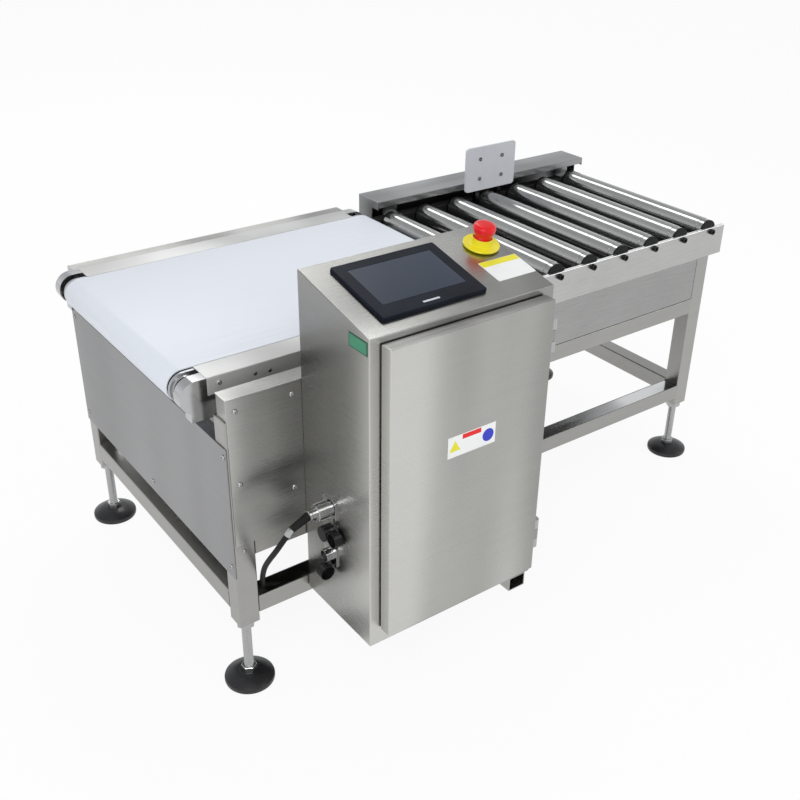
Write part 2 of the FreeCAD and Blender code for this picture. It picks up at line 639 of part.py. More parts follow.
def with_motor_lobe(plate):
    """The rear plate with the lobe that the motor is bolted to."""
    span = (WEIGH_DEPTH - PLATE_INNER, WEIGH_DEPTH - PLATE_OUTER)
    reach = MOTOR_RADIUS + MOTOR_LOBE
    web = box(MOTOR_X - reach, MOTOR_X + reach, *span, MOTOR_Z, BAR_BOTTOM + 1)
    lobe = web.fuse(rod(reach, (MOTOR_X, span[0], MOTOR_Z), (MOTOR_X, span[1], MOTOR_Z)))
    bore = rod(MOTOR_SHAFT_RADIUS + SIDE_GAP, (MOTOR_X, span[0] - 1, MOTOR_Z),
               (MOTOR_X, span[1] + 1, MOTOR_Z))
    return plate.fuse(lobe).cut(bore).removeSplitter()


def bearing(x):
    """A flanged bearing on the outside of the front side plate."""
    body = rod(BEARING_RADIUS, (x, BEARING_OUTER, DRUM_Z), (x, PLATE_OUTER, DRUM_Z))
    bore = rod(JOURNAL_RADIUS + RUNNING, (x, BEARING_OUTER - 1, DRUM_Z), (x, PLATE_OUTER + 1, DRUM_Z))
    return body.cut(bore)


def side_cover():
    """The folded rail beside the belt: top flange, outer face and bottom lip."""
    x0, x1 = DRUM_LEFT + NOSE_CAP_BACK, DRUM_RIGHT - NOSE_CAP_BACK
    y0, y1 = SIDE_OUTER, SIDE_OUTER + SIDE_COVER_WIDTH
    bottom = BELT_TOP - SIDE_COVER_FACE
    outer = box(x0, x1, y0, y1, bottom, BELT_TOP)
    bend = [e for e in along(outer, X_AXIS)
            if e.CenterOfMass.y < y0 + 0.01 and e.CenterOfMass.z > BELT_TOP - 0.01]
    outer = outer.makeFillet(SHEET * 0.9, bend)
    inner = box(x0 - 1, x1 + 1, y0 + SHEET, y1 + 1, bottom + SHEET, BELT_TOP - SHEET)
    below = box(x0 - 1, x1 + 1, y0 + SIDE_COVER_LIP, y1 + 1, bottom - 1, BELT_TOP - SHEET)
    return outer.cut([inner, below])


def nose_cap(drum_x, outward):
    """The hollow cap that carries the side cover's line round the drum, open towards the belt."""
    def at(dx, z):
        return V(drum_x + outward * dx, SIDE_OUTER, z)
    low = DRUM_Z - BELT_NOSE_RADIUS - NOSE_CAP_DROP
    ledge = BELT_TOP - SIDE_COVER_FACE
    chin_z = DRUM_Z - math.sqrt(BELT_NOSE_RADIUS ** 2 - NOSE_CAP_CHIN ** 2)
    toe = -NOSE_CAP_BACK - NOSE_CAP_TOE
    nose = Part.Arc(at(0, BELT_TOP), at(BELT_NOSE_RADIUS, DRUM_Z), at(NOSE_CAP_CHIN, chin_z)).toShape()
    outline = [at(NOSE_CAP_CHIN, chin_z), at(NOSE_CAP_CHIN, low), at(toe, low), at(toe, ledge),
               at(-NOSE_CAP_BACK, ledge), at(-NOSE_CAP_BACK, BELT_TOP), at(0, BELT_TOP)]
    face = Part.Face(Part.Wire([nose] + Part.makePolygon(outline).Edges))
    hollow = face.makeOffset2D(-NOSE_CAP_WALL)
    hollow.translate(V(0, NOSE_CAP_WALL, 0))
    width = V(0, NOSE_CAP_WIDTH, 0)
    return face.extrude(width).cut(hollow.extrude(width))


def slider_bed():
    inset = BELT_NOSE_RADIUS + SLIDER_END_GAP
    x0, x1 = DRUM_LEFT + inset, DRUM_RIGHT - inset
    y0, y1 = BELT_FRONT + SLIDER_SIDE_GAP, BELT_REAR - SLIDER_SIDE_GAP
    bed = box(x0, x1, y0, y1, BED_TOP - SLIDER_BED, BED_TOP)
    folds = [box(x0, x1, y, y + SLIDER_BED, BED_TOP - SLIDER_EDGE, BED_TOP) for y in (y0, y1 - SLIDER_BED)]
    return bed.fuse(folds).removeSplitter()


def tie_bars():
    """Bars between the side plates that the bed's folded edges stand on."""
    z = BED_TOP - SLIDER_EDGE - TIE_BAR_RADIUS
    step = (DRUM_RIGHT - DRUM_LEFT) / TIE_BAR_COUNT
    places = [DRUM_LEFT + step * (i + 0.5) for i in range(TIE_BAR_COUNT)]
    return [rod(TIE_BAR_RADIUS, (x, PLATE_INNER, z), (x, WEIGH_DEPTH - PLATE_INNER, z)) for x in places]


def make_conveyor():
    plate = side_plate()
    save("belt_side_plates", plate, with_motor_lobe(to_rear(plate)))
    bearings = [bearing(x) for x in (DRUM_LEFT, DRUM_RIGHT)]
    save("drum_bearings", *bearings, *[to_rear(b) for b in bearings])
    cover = side_cover()
    save("belt_side_covers", cover, to_rear(cover))
    caps = [nose_cap(DRUM_LEFT, -1), nose_cap(DRUM_RIGHT, 1)]
    save("nose_caps", *caps, *[to_rear(c) for c in caps])
    save("slider_bed", slider_bed(), *tie_bars())
    belt = racetrack(BELT_NOSE_RADIUS, BELT_FRONT, BELT_REAR)
    save("conveyor_belt", belt.cut(racetrack(BELT_NOSE_RADIUS - BELT, BELT_FRONT - 1, BELT_REAR + 1)))


# Belt drive
def drum(x, rear_end):
    """A hollow drum on two journals, the rear one up to rear_end."""
    shell = rod(DRUM_RADIUS, (x, BELT_FRONT, DRUM_Z), (x, BELT_REAR, DRUM_Z))
    hollow = rod(DRUM_RADIUS - DRUM_SHELL, (x, BELT_FRONT + DRUM_END, DRUM_Z),
                 (x, BELT_REAR - DRUM_END, DRUM_Z))
    journals = [rod(JOURNAL_RADIUS, (x, BEARING_OUTER - SIDE_GAP, DRUM_Z), (x, BELT_FRONT + 1, DRUM_Z)),
                rod(JOURNAL_RADIUS, (x, BELT_REAR - 1, DRUM_Z), (x, rear_end, DRUM_Z))]
    return shell.cut(hollow).fuse(journals).removeSplitter()


def pulley(x, z, radius, y0):
    """A pulley with a groove for each tooth of its belt."""
    y1 = y0 + PULLEY_WIDTH
    count = round(2 * math.pi * radius / TOOTH_PITCH)
    grooves = []
    for i in range(count):
        angle = 2 * math.pi * i / count
        groove_x, groove_z = x + radius * math.cos(angle), z + radius * math.sin(angle)
        grooves.append(rod(TOOTH_RADIUS, (groove_x, y0 - 1, groove_z), (groove_x, y1 + 1, groove_z)))
    return rod(radius, (x, y0, z), (x, y1, z)).cut(grooves)


def timing_belt(y0, y1):
    """An endless belt along the outer tangents of the two pulleys."""
    dx, dz = MOTOR_X - DRUM_RIGHT, MOTOR_Z - DRUM_Z
    distance, heading = math.hypot(dx, dz), math.atan2(dz, dx)
    spread = math.acos((DRIVE_PULLEY_RADIUS - MOTOR_PULLEY_RADIUS) / distance)

    def loop(extra, low, high):
        wheels = ((DRUM_RIGHT, DRUM_Z, DRIVE_PULLEY_RADIUS + extra, (1, -1)),
                  (MOTOR_X, MOTOR_Z, MOTOR_PULLEY_RADIUS + extra, (-1, 1)))
        corners = [(x + radius * math.cos(heading + side * spread), low,
                    z + radius * math.sin(heading + side * spread))
                   for x, z, radius, sides in wheels for side in sides]
        strip = face_of(corners).extrude(V(0, high - low, 0))
        ends = [rod(radius, (x, low, z), (x, high, z)) for x, z, radius, sides in wheels]
        return strip.fuse(ends).removeSplitter()
    return loop(GAP + TIMING_BELT, y0, y1).cut(loop(GAP, y0 - 1, y1 + 1))


def make_drive():
    pulley_y = WEIGH_DEPTH - BEARING_OUTER + SIDE_GAP
    save("tail_drum", drum(DRUM_LEFT, pulley_y))
    drive = drum(DRUM_RIGHT, pulley_y).fuse(pulley(DRUM_RIGHT, DRUM_Z, DRIVE_PULLEY_RADIUS, pulley_y))
    save("drive_drum", drive.removeSplitter())
    save("timing_belt", timing_belt(pulley_y + GAP, pulley_y + PULLEY_WIDTH - GAP))

    face = WEIGH_DEPTH - PLATE_INNER
    seat = face - MOTOR_SHAFT_GRIP
    shaft = rod(MOTOR_SHAFT_RADIUS, (MOTOR_X, seat, MOTOR_Z), (MOTOR_X, pulley_y + 1, MOTOR_Z))
    wheel = pulley(MOTOR_X, MOTOR_Z, MOTOR_PULLEY_RADIUS, pulley_y)
    save("motor_pulley", shaft.fuse(wheel).removeSplitter())
    gearbox = rod(MOTOR_RADIUS, (MOTOR_X, face - GEARBOX_LENGTH, MOTOR_Z), (MOTOR_X, face, MOTOR_Z))
    can = rod(MOTOR_RADIUS - MOTOR_CAN_STEP, (MOTOR_X, face - MOTOR_LENGTH, MOTOR_Z),
              (MOTOR_X, face - GEARBOX_LENGTH, MOTOR_Z))
    bore = rod(MOTOR_SHAFT_RADIUS + RUNNING, (MOTOR_X, seat - SIDE_GAP, MOTOR_Z),
               (MOTOR_X, face + 1, MOTOR_Z))
    save("drive_motor", gearbox.fuse(can).cut(bore))


# Roller table
def roller_rail(face_y, top_flange, bottom_flange):
    """A channel whose web carries the axle screws. Its flanges point to the rear."""
    def sheet(depth, z0, z1):
        return box(RAIL_LEFT, RAIL_RIGHT, face_y, face_y + depth, z0, z1)
    rail = sheet(SHEET, RAIL_BOTTOM, RAIL_TOP).fuse([sheet(top_flange, RAIL_TOP - SHEET, RAIL_TOP),
                                                     sheet(bottom_flange, RAIL_BOTTOM, RAIL_BOTTOM + SHEET)])
    rail = rail.removeSplitter()
    bend = [e for e in along(rail, X_AXIS)
            if abs(e.CenterOfMass.y - face_y) < 0.01 and e.CenterOfMass.z > RAIL_TOP - 0.01]
    rail = rail.makeFillet(RAIL_BEND, bend)
    holes = [rod(AXLE_SCREW_RADIUS, (x, face_y - 1, ROLLER_Z), (x, face_y + SHEET + 1, ROLLER_Z))
             for x in ROLLER_X]
    return rail.cut(holes)


def skirt(face_y, inward):
    """A panel with folded sides between the legs, the mid rail and the roller rail."""
    x0, x1 = TABLE_LEFT + TUBE, TABLE_RIGHT - TUBE
    face = box(x0, x1, *sorted((face_y, face_y + inward * SHEET)), TABLE_MID_TOP, RAIL_BOTTOM)
    sides = [box(x, x + SHEET, *sorted((face_y, face_y + inward * SKIRT_RETURN)), TABLE_MID_TOP, RAIL_BOTTOM)
             for x in (x0, x1 - SHEET)]
    return face.fuse(sides).removeSplitter()


def axle_screw(x, seat_y, outward):
    """A socket screw through a rail into the axle's end."""
    top = seat_y + outward * SCREW_HEAD
    tip = seat_y - outward * (SHEET + AXLE_SCREW_DEPTH)
    head = rod(SCREW_HEAD_RADIUS, (x, seat_y, ROLLER_Z), (x, top, ROLLER_Z))
    shank = rod(AXLE_SCREW_RADIUS, (x, seat_y, ROLLER_Z), (x, tip, ROLLER_Z))
    key = hexagon(SCREW_KEY_FLATS, SCREW_KEY_DEPTH, (x, top, ROLLER_Z), V(0, -outward, 0))
    return head.fuse(shank).cut(key).removeSplitter()


def roller(x, cap_start, cap_end):
    """A tube with a plastic cap pressed into each end."""
    def disc(radius, y0, y1):
        return rod(radius, (x, y0, ROLLER_Z), (x, y1, ROLLER_Z))
    start, end = cap_start + FRONT_CAP_LENGTH, cap_end - REAR_CAP_LENGTH
    inner = ROLLER_RADIUS - ROLLER_WALL
    tube = disc(ROLLER_RADIUS, start, end).cut(disc(inner, start - 1, end + 1))
    bore = disc(AXLE_RADIUS + RUNNING, cap_start - 1, cap_end + 1)
    front_cap = disc(CAP_RADIUS, cap_start, start).fuse(disc(inner, start, start + CAP_PLUG))
    rear_cap = disc(CAP_RADIUS, end, cap_end).fuse(disc(inner, end - CAP_PLUG, end))
    return tube, front_cap.cut(bore), rear_cap.cut(bore)


def axle(x):
    """A round bar between the rails, tapped at both ends."""
    start, end = TABLE_FRONT + SHEET, REAR_RAIL_FACE
    threads = [rod(AXLE_SCREW_RADIUS, (x, y, ROLLER_Z), (x, y + AXLE_SCREW_DEPTH, ROLLER_Z))
               for y in (start, end - AXLE_SCREW_DEPTH)]
    return rod(AXLE_RADIUS, (x, start, ROLLER_Z), (x, end, ROLLER_Z)).cut(threads)


def make_roller_table():
    save("roller_rails", roller_rail(TABLE_FRONT, FRONT_RAIL_FLANGE, TUBE),
         roller_rail(REAR_RAIL_FACE, REAR_RAIL_FLANGE, TABLE_REAR - REAR_RAIL_FACE))
    pan = box(TABLE_LEFT + TUBE, TABLE_RIGHT - TUBE, TABLE_FRONT + TUBE, TABLE_REAR - TUBE,
              TABLE_MID_TOP - SHEET, TABLE_MID_TOP)
    save("skirt_panels", skirt(TABLE_FRONT, 1), skirt(TABLE_REAR, -1), pan)
    cap_start, cap_end = TABLE_FRONT + FRONT_RAIL_FLANGE + SIDE_GAP, REAR_RAIL_FACE - SIDE_GAP
    for number, x in enumerate(ROLLER_X, 1):
        save(f"roller_{number}", *roller(x, cap_start, cap_end))
    axles = [axle(x) for x in ROLLER_X]
    seats = ((TABLE_FRONT, -1), (REAR_RAIL_FACE + SHEET, 1))
    screws = [axle_screw(x, *seat) for x in ROLLER_X for seat in seats]
    save("roller_axles", *axles, *screws)


def guide_bracket(x):
    """A Z-shaped bracket that carries the guide cover on the rear rail."""
    x0, x1 = x - GUIDE_BRACKET_WIDTH / 2, x + GUIDE_BRACKET_WIDTH / 2
    front, back = REAR_RAIL_FACE + SHEET, REAR_RAIL_FACE + REAR_RAIL_FLANGE
    under = GUIDE_TOP - SHEET
    low = box(x0, x1, front, back, RAIL_TOP, RAIL_TOP + SHEET)
    web = box(x0, x1, back - SHEET, back, RAIL_TOP, under)
    top = box(x0, x1, back - SHEET, 2 * back - front, under - SHEET, under)
    return low.fuse([web, top]).removeSplitter()


def make_guide_cover():
    """The folded cover over the rear roller rail, open towards the rollers."""
    x0, x1, y0, y1 = GUIDE_LEFT, RAIL_RIGHT, GUIDE_FRONT, GUIDE_BACK
    top = box(x0, x1, y0, y1, GUIDE_TOP - SHEET, GUIDE_TOP)
    back = box(x0, x1, y1 - SHEET, y1, RAIL_BOTTOM, GUIDE_TOP)
    drop = box(x0, x1, y0, y0 + SHEET, GUIDE_TOP - GUIDE_DROP, GUIDE_TOP)
    ends = []
    for x in (x0, x1 - SHEET):
        end = box(x, x + SHEET, y0, y1, GUIDE_END_BOTTOM, GUIDE_TOP)
        ends.append(end.cut(box(x - 1, x + SHEET + 1, y0 - 1, REAR_RAIL_FACE + REAR_RAIL_FLANGE + SIDE_GAP,
                                GUIDE_END_BOTTOM - 1, GUIDE_NOTCH_TOP)))
    cover = top.fuse([back, drop] + ends).removeSplitter()
    brackets = [guide_bracket(x) for x in (x0 + GUIDE_BRACKET_INSET, x1 - GUIDE_BRACKET_INSET)]
    save("guide_cover", cover, *brackets)


# Pusher: a plate on two posts, carried under the rollers by a rodless cylinder
def make_pusher():
    x = PUSHER_X
    half = CYLINDER / 2
    start = TABLE_FRONT + SHEET + CYLINDER_END_GAP
    end = TABLE_REAR - SHEET - CYLINDER_END_GAP
    z0 = TABLE_MID_TOP + CYLINDER_FOOT
    z1 = z0 + CYLINDER
    middle_z = (z0 + z1) / 2
    barrel = box(x - half, x + half, start + CYLINDER_CAP, end - CYLINDER_CAP, z0, z1)
    grooves = [box(x + side * half - CYLINDER_GROOVE_DEPTH, x + side * half + CYLINDER_GROOVE_DEPTH,
                   start, end, middle_z - CYLINDER_GROOVE / 2, middle_z + CYLINDER_GROOVE / 2)
               for side in (-1, 1)]
    grooves.append(box(x - CYLINDER_GROOVE / 2, x + CYLINDER_GROOVE / 2, start, end, z1 - SHEET, z1 + 1))
    caps = [box(x - half, x + half, y, y + CYLINDER_CAP, z0, z1) for y in (start, end - CYLINDER_CAP)]
    caps = [c.makeFillet(CYLINDER_CORNER, along(c, Y_AXIS)) for c in caps]
    feet = [box(x - CYLINDER_FOOT_WIDTH / 2, x + CYLINDER_FOOT_WIDTH / 2, y, y + CYLINDER_FOOT_DEPTH,
                TABLE_MID_TOP, z0) for y in (start, end - CYLINDER_FOOT_DEPTH)]
    save("pusher_cylinder", barrel.cut(grooves), *caps, *feet)

    carriage_end = end - CYLINDER_CAP - SHEET
    carriage_start = carriage_end - CARRIAGE_LENGTH
    deck = z1 + GAP
    outer = half + GAP + CARRIAGE_SIDE
    carriage = box(x - outer, x + outer, carriage_start, carriage_end, deck, deck + CARRIAGE)
    wraps = [box(*sorted((x + side * (half + GAP), x + side * outer)), carriage_start, carriage_end,
                 z1 - CARRIAGE_WRAP, deck) for side in (-1, 1)]
    bridge_z = deck + CARRIAGE
    bridge_half = PLATE_BOLT_X + POST_WIDTH / 2
    bridge_back = (carriage_start + carriage_end + BRIDGE_DEPTH) / 2
    bridge = box(x - bridge_half, x + bridge_half, POST_FRONT, bridge_back, bridge_z, bridge_z + BRIDGE)
    face = POST_FRONT - PLATE
    posts, bolts, holes = [], [], []
    for side in (-1, 1):
        post_x = x + side * PLATE_BOLT_X
        posts.append(box(post_x - POST_WIDTH / 2, post_x + POST_WIDTH / 2, POST_FRONT, POST_BACK,
                         bridge_z, PLATE_BOTTOM + PLATE_HEIGHT - PLATE))
        for dz in (-PLATE_BOLT_Z, PLATE_BOLT_Z):
            z = PLATE_BOTTOM + PLATE_HEIGHT / 2 + dz
            shank = rod(PLATE_BOLT_RADIUS, (post_x, face, z), (post_x, POST_BACK - SHEET, z))
            head = rod(PLATE_BOLT_HEAD, (post_x, face - PLATE_BOLT_HEAD_HEIGHT, z), (post_x, face, z))
            holes.append(shank)
            bolts.append(head.fuse(shank).removeSplitter())
    bracket = bridge.fuse(posts).cut(holes).removeSplitter()
    save("pusher_carriage", carriage.fuse(wraps).removeSplitter(), bracket)
    plate = box(x - PLATE_WIDTH / 2, x + PLATE_WIDTH / 2, face, POST_FRONT,
                PLATE_BOTTOM, PLATE_BOTTOM + PLATE_HEIGHT)
    plate = plate.makeFillet(PLATE_CORNER, along(plate, Y_AXIS)).cut(holes)
    save("pusher_plate", plate, *bolts)


# Control cabinet
def on_slope(shape):
    """Takes a shape made with X across, Y up the slope and Z out of it to the cabinet's sloping top."""
    corner = V(CABINET_LEFT, CABINET_FRONT, CABINET_FRONT_TOP)
    shape.Placement = FreeCAD.Placement(corner, FreeCAD.Rotation(X_AXIS, SLOPE)).multiply(shape.Placement)
    return shape


def cabinet_solid(inset):
    """The cabinet's outer form, drawn in by a wall on every side."""
    tangent = math.tan(math.radians(SLOPE))
    drop = inset / math.cos(math.radians(SLOPE))
    y0, y1 = CABINET_FRONT + inset, CABINET_BACK - inset
    x0, z0 = CABINET_LEFT + inset, CABINET_BOTTOM + inset
    section = [(x0, y0, z0), (x0, y1, z0), (x0, y1, CABINET_BACK_TOP - drop - tangent * inset),
               (x0, y0, CABINET_FRONT_TOP - drop + tangent * inset)]
    return face_of(section).extrude(V(CABINET_WIDTH - 2 * inset, 0, 0))


def make_cabinet_body():
    shell = cabinet_solid(0)
    shell = shell.makeFillet(CABINET_EDGE, [e for e in shell.Edges if e.CenterOfMass.z > CABINET_BOTTOM + 1])
    mouth = box(CABINET_LEFT + CABINET_RIM, CABINET_RIGHT - CABINET_RIM,
                CABINET_FRONT - 1, CABINET_FRONT + SHEET + 1, DOOR_BOTTOM + DOOR_LIP, DOOR_TOP - DOOR_LIP)
    step = HMI_STEP - GAP
    panel_cut = on_slope(box(HMI_LEFT + step, HMI_LEFT + HMI_WIDTH - step, HMI_LOW + step,
                             HMI_LOW + HMI_HEIGHT - step, -2 * SHEET, SHEET))
    estop_cut = on_slope(rod(ESTOP_BARREL_RADIUS + GAP, (ESTOP_ACROSS, ESTOP_UP, -2 * SHEET),
                             (ESTOP_ACROSS, ESTOP_UP, SHEET)))
    socket_cuts = [rod(SOCKET_TAIL_RADIUS + GAP, (CABINET_LEFT - 1, SOCKET_Y, z),
                       (CABINET_LEFT + SHEET + 1, SOCKET_Y, z)) for z in SOCKET_HEIGHTS]
    body = shell.cut([cabinet_solid(SHEET), mouth, panel_cut, estop_cut] + socket_cuts)
    x1 = CABINET_RIGHT - BRACKET_INSET
    x0 = x1 - BRACKET_WIDTH
    bottom = CABINET_BOTTOM - BRACKET_HEIGHT
    bracket = box(x0, x1, CABINET_FRONT, CABINET_FRONT + BRACKET_DEPTH, bottom, CABINET_BOTTOM)
    inner = box(x0 + SHEET, x1 - SHEET, CABINET_FRONT - 1, CABINET_FRONT + BRACKET_DEPTH - SHEET,
                bottom + SHEET, CABINET_BOTTOM - SHEET)
    save("cabinet_body", body, bracket.cut(inner))


def hinge_post(radius, z0, z1):
    return rod(radius, (HINGE_X, HINGE_Y, z0), (HINGE_X, HINGE_Y, z1))


def make_door():
    pan = box(DOOR_LEFT, DOOR_RIGHT, DOOR_FRONT, DOOR_BACK, DOOR_BOTTOM, DOOR_TOP)
    front_edges = [e for e in pan.Edges if e.CenterOfMass.y < DOOR_FRONT + 0.01]
    pan = pan.makeFillet(DOOR_CORNER, front_edges + along(pan, Y_AXIS))
    hollow = box(DOOR_LEFT + SHEET, DOOR_RIGHT - SHEET, DOOR_FRONT + SHEET, DOOR_BACK - SHEET,
                 DOOR_BOTTOM + SHEET, DOOR_TOP - SHEET)
    back = box(DOOR_LEFT + DOOR_LIP, DOOR_RIGHT - DOOR_LIP, DOOR_BACK - SHEET - 1, DOOR_BACK + 1,
               DOOR_BOTTOM + DOOR_LIP, DOOR_TOP - DOOR_LIP)
    knuckles, fixed = [], []
    third = HINGE_HEIGHT / 3
    for middle in HINGE_MIDDLES:
        low, high = middle - HINGE_HEIGHT / 2, middle + HINGE_HEIGHT / 2
        pin = hinge_post(HINGE_PIN_RADIUS, low, high)
        for z0, z1 in ((low, low + third - GAP), (high - third + GAP, high)):
            leaf = box(HINGE_X - HINGE_LEAF / 2, HINGE_X + HINGE_LEAF / 2, HINGE_Y, CABINET_FRONT, z0, z1)
            fixed.append(hinge_post(HINGE_RADIUS, z0, z1).fuse(leaf).cut(pin).removeSplitter())
        fixed.append(pin)
        arm = box(DOOR_RIGHT, HINGE_X, HINGE_Y - HINGE_ARM / 2, HINGE_Y + HINGE_ARM / 2,
                  low + third, high - third)
        knuckle = hinge_post(HINGE_RADIUS, low + third, high - third).fuse(arm)
        knuckles.append(knuckle.cut(hinge_post(HINGE_PIN_RADIUS + RUNNING, low, high)).removeSplitter())
    save("cabinet_door", pan.cut([hollow, back]), *knuckles)
    save("cabinet_hinges", *fixed)

    def ring(inset):
        return box(DOOR_LEFT + inset, DOOR_RIGHT - inset, DOOR_BACK, CABINET_FRONT,
                   DOOR_BOTTOM + inset, DOOR_TOP - inset)
    save("door_gasket", ring(SHEET).cut(ring(SHEET + GASKET_WIDTH)))


def make_hmi():
    u0, u1, v0, v1 = HMI_LEFT, HMI_LEFT + HMI_WIDTH, HMI_LOW, HMI_LOW + HMI_HEIGHT
    bezel = box(u0, u1, v0, v1, 0, HMI_BEZEL)
    bezel = bezel.makeFillet(HMI_CORNER, along(bezel, Z_AXIS))
    bezel = bezel.makeChamfer(HMI_EDGE, [e for e in bezel.Edges if e.CenterOfMass.z > HMI_BEZEL - 0.01])
    housing = box(u0 + HMI_STEP, u1 - HMI_STEP, v0 + HMI_STEP, v1 - HMI_STEP, -HMI_BACK, 0)
    screen = (u0 + SCREEN_SIDE, u1 - SCREEN_SIDE, v0 + SCREEN_LOW, v1 - SCREEN_HIGH)
    glass_low = HMI_BEZEL - SCREEN_SINK - SCREEN_GLASS
    recess = box(*screen, glass_low, HMI_BEZEL + 1)
    panel = bezel.fuse(housing).cut(recess).removeSplitter()
    save("operator_panel", on_slope(panel), on_slope(box(*screen, glass_low, HMI_BEZEL - SCREEN_SINK)))


def turned(points):
    """A solid turned about the emergency stop's axis from pairs of radius and height."""
    solid = face_of([(radius, 0, height) for radius, height in points]).revolve(V(0, 0, 0), Z_AXIS, 360)
    solid.translate(V(ESTOP_ACROSS, ESTOP_UP, 0))
    return on_slope(solid)


def make_emergency_stop():
    guide = ESTOP_STEM_RADIUS + RUNNING
    inner = ESTOP_NECK_RADIUS + SIDE_GAP
    ring, top = ESTOP_RING_RADIUS, ESTOP_RING_TOP
    save("estop_ring", turned([(guide, 0), (ESTOP_COLLAR_RADIUS, 0), (ring, top - ESTOP_RING_RIM),
                               (ring, top), (ring - ESTOP_RING_BEVEL, top),
                               (ESTOP_COLLAR_RADIUS, ESTOP_FLOOR),
                               (ESTOP_COLLAR_RADIUS, ESTOP_COLLAR_TOP), (inner, ESTOP_COLLAR_TOP),
                               (inner, ESTOP_FLOOR), (guide, ESTOP_FLOOR)]))
    nut_bottom = -SHEET - ESTOP_NUT
    barrel = turned([(guide, 0), (ESTOP_BARREL_RADIUS, 0), (ESTOP_BARREL_RADIUS, -SHEET),
                     (ESTOP_NUT_RADIUS, -SHEET), (ESTOP_NUT_RADIUS, nut_bottom),
                     (ESTOP_BARREL_RADIUS, nut_bottom),
                     (ESTOP_BARREL_RADIUS, -ESTOP_BARREL), (guide, -ESTOP_BARREL)])
    half = ESTOP_BLOCK / 2
    block = box(ESTOP_ACROSS - half, ESTOP_ACROSS + half, ESTOP_UP - half, ESTOP_UP + half,
                -ESTOP_BARREL - ESTOP_BLOCK_DEPTH, -ESTOP_BARREL)
    well = rod(guide, (ESTOP_ACROSS, ESTOP_UP, -ESTOP_BARREL - 2 * ESTOP_PRESS), (ESTOP_ACROSS, ESTOP_UP, 0))
    save("estop_contacts", barrel, on_slope(block.cut(well)))
    stem_top = ESTOP_HEAD_TOP - ESTOP_HEAD_SOLID
    save("estop_stem", turned([(0, -ESTOP_BARREL), (ESTOP_STEM_RADIUS, -ESTOP_BARREL),
                               (ESTOP_STEM_RADIUS, stem_top), (0, stem_top)]))
    low = ESTOP_FLOOR + ESTOP_PRESS + 2 * SIDE_GAP
    radius, crown = ESTOP_HEAD_RADIUS, ESTOP_HEAD_TOP
    outline = [(radius + out, crown + down) for out, down in ESTOP_CROWN]
    save("estop_head", turned([(guide, low), (ESTOP_NECK_RADIUS, low), (ESTOP_NECK_RADIUS, low + ESTOP_NECK),
                               *outline, (0, crown), (0, stem_top + RUNNING), (guide, stem_top + RUNNING)]))


# Control gear, seen when the door is open
def make_control_gear():
    edge = CABINET_RIM + GEAR_MARGIN
    x0, x1 = CABINET_LEFT + edge, CABINET_RIGHT - edge
    z0, z1 = DOOR_BOTTOM + CABINET_RIM, DOOR_TOP - CABINET_RIM
    wall = CABINET_BACK - SHEET
    face = wall - GEAR_STANDOFF - GEAR_PLATE
    front = face - DIN_RAIL_DEPTH
    inset = 2 * GEAR_STANDOFF_RADIUS
    left = x0 + inset
    plate = box(x0, x1, face, face + GEAR_PLATE, z0, z1)
    standoffs = [rod(GEAR_STANDOFF_RADIUS, (x, face + 1, z), (x, wall, z))
                 for x in (left, x1 - inset) for z in (z0 + inset, z1 - inset)]
    rails = [box(left, x1 - inset, front, face, z, z + DIN_RAIL) for z in (LOWER_DIN_RAIL, UPPER_DIN_RAIL)]
    save("mounting_plate", plate.fuse(standoffs + rails).removeSplitter())

    def device(x, width, depth, height, rail_z):
        low = rail_z + (DIN_RAIL - height) / 2
        return box(x, x + width, front - depth, front, low, low + height)

    def seams(x, step, count, depth, height, rail_z):
        """Narrow cuts in the front of a row of modules."""
        low = rail_z + (DIN_RAIL - height) / 2
        return [box(x + step * i - GEAR_SEAM / 2, x + step * i + GEAR_SEAM / 2, front - depth - 1,
                    front - depth + GEAR_SEAM_DEPTH, low - 1, low + height + 1) for i in range(1, count)]

    width, depth, height = SUPPLY
    supply = device(left, *SUPPLY, UPPER_DIN_RAIL)
    pitch = width / (SUPPLY_VENT_COUNT + 1)
    top = supply.BoundBox.ZMax
    vents = [box(left + pitch * (i + 0.75), left + pitch * (i + 1.25), front - depth + SUPPLY_VENT_MARGIN,
                 front - SUPPLY_VENT_MARGIN, top - SUPPLY_VENT_DEPTH, top + 1)
             for i in range(SUPPLY_VENT_COUNT)]
    save("power_supply", supply.cut(vents))

    drive_x = left + width + GEAR_SPACING
    width, depth, height = DRIVE
    drive = device(drive_x, *DRIVE, UPPER_DIN_RAIL)
    low, high = drive.BoundBox.ZMin, drive.BoundBox.ZMax
    side, window_height, above = DRIVE_WINDOW
    window = box(drive_x + side, drive_x + width - side,
                 front - depth - 1, front - depth + SUPPLY_VENT_DEPTH,
                 high - above - window_height, high - above)
    fins = []
    for i in range(DRIVE_FIN_COUNT):
        fin_y = front - DRIVE_FIN_PITCH * (i + 1)
        fins.append(box(drive_x - 1, drive_x + DRIVE_FIN_DEPTH, fin_y, fin_y + DRIVE_FIN_PITCH / 2,
                        low + DRIVE_FIN_MARGIN, high - DRIVE_FIN_MARGIN))
    save("motor_drive", drive.cut([window] + fins))

    width, depth, height = CONTROLLER
    controller = device(left, *CONTROLLER, LOWER_DIN_RAIL)
    controller = controller.cut(seams(left, width / CONTROLLER_MODULE_COUNT, CONTROLLER_MODULE_COUNT,
                                      depth, height, LOWER_DIN_RAIL))
    row_x = left + width + GEAR_SPACING
    width, depth, height = TERMINAL
    row = device(row_x, width * TERMINAL_COUNT, depth, height, LOWER_DIN_RAIL)
    row = row.cut(seams(row_x, width, TERMINAL_COUNT, depth, height, LOWER_DIN_RAIL))
    save("controller", controller, row)


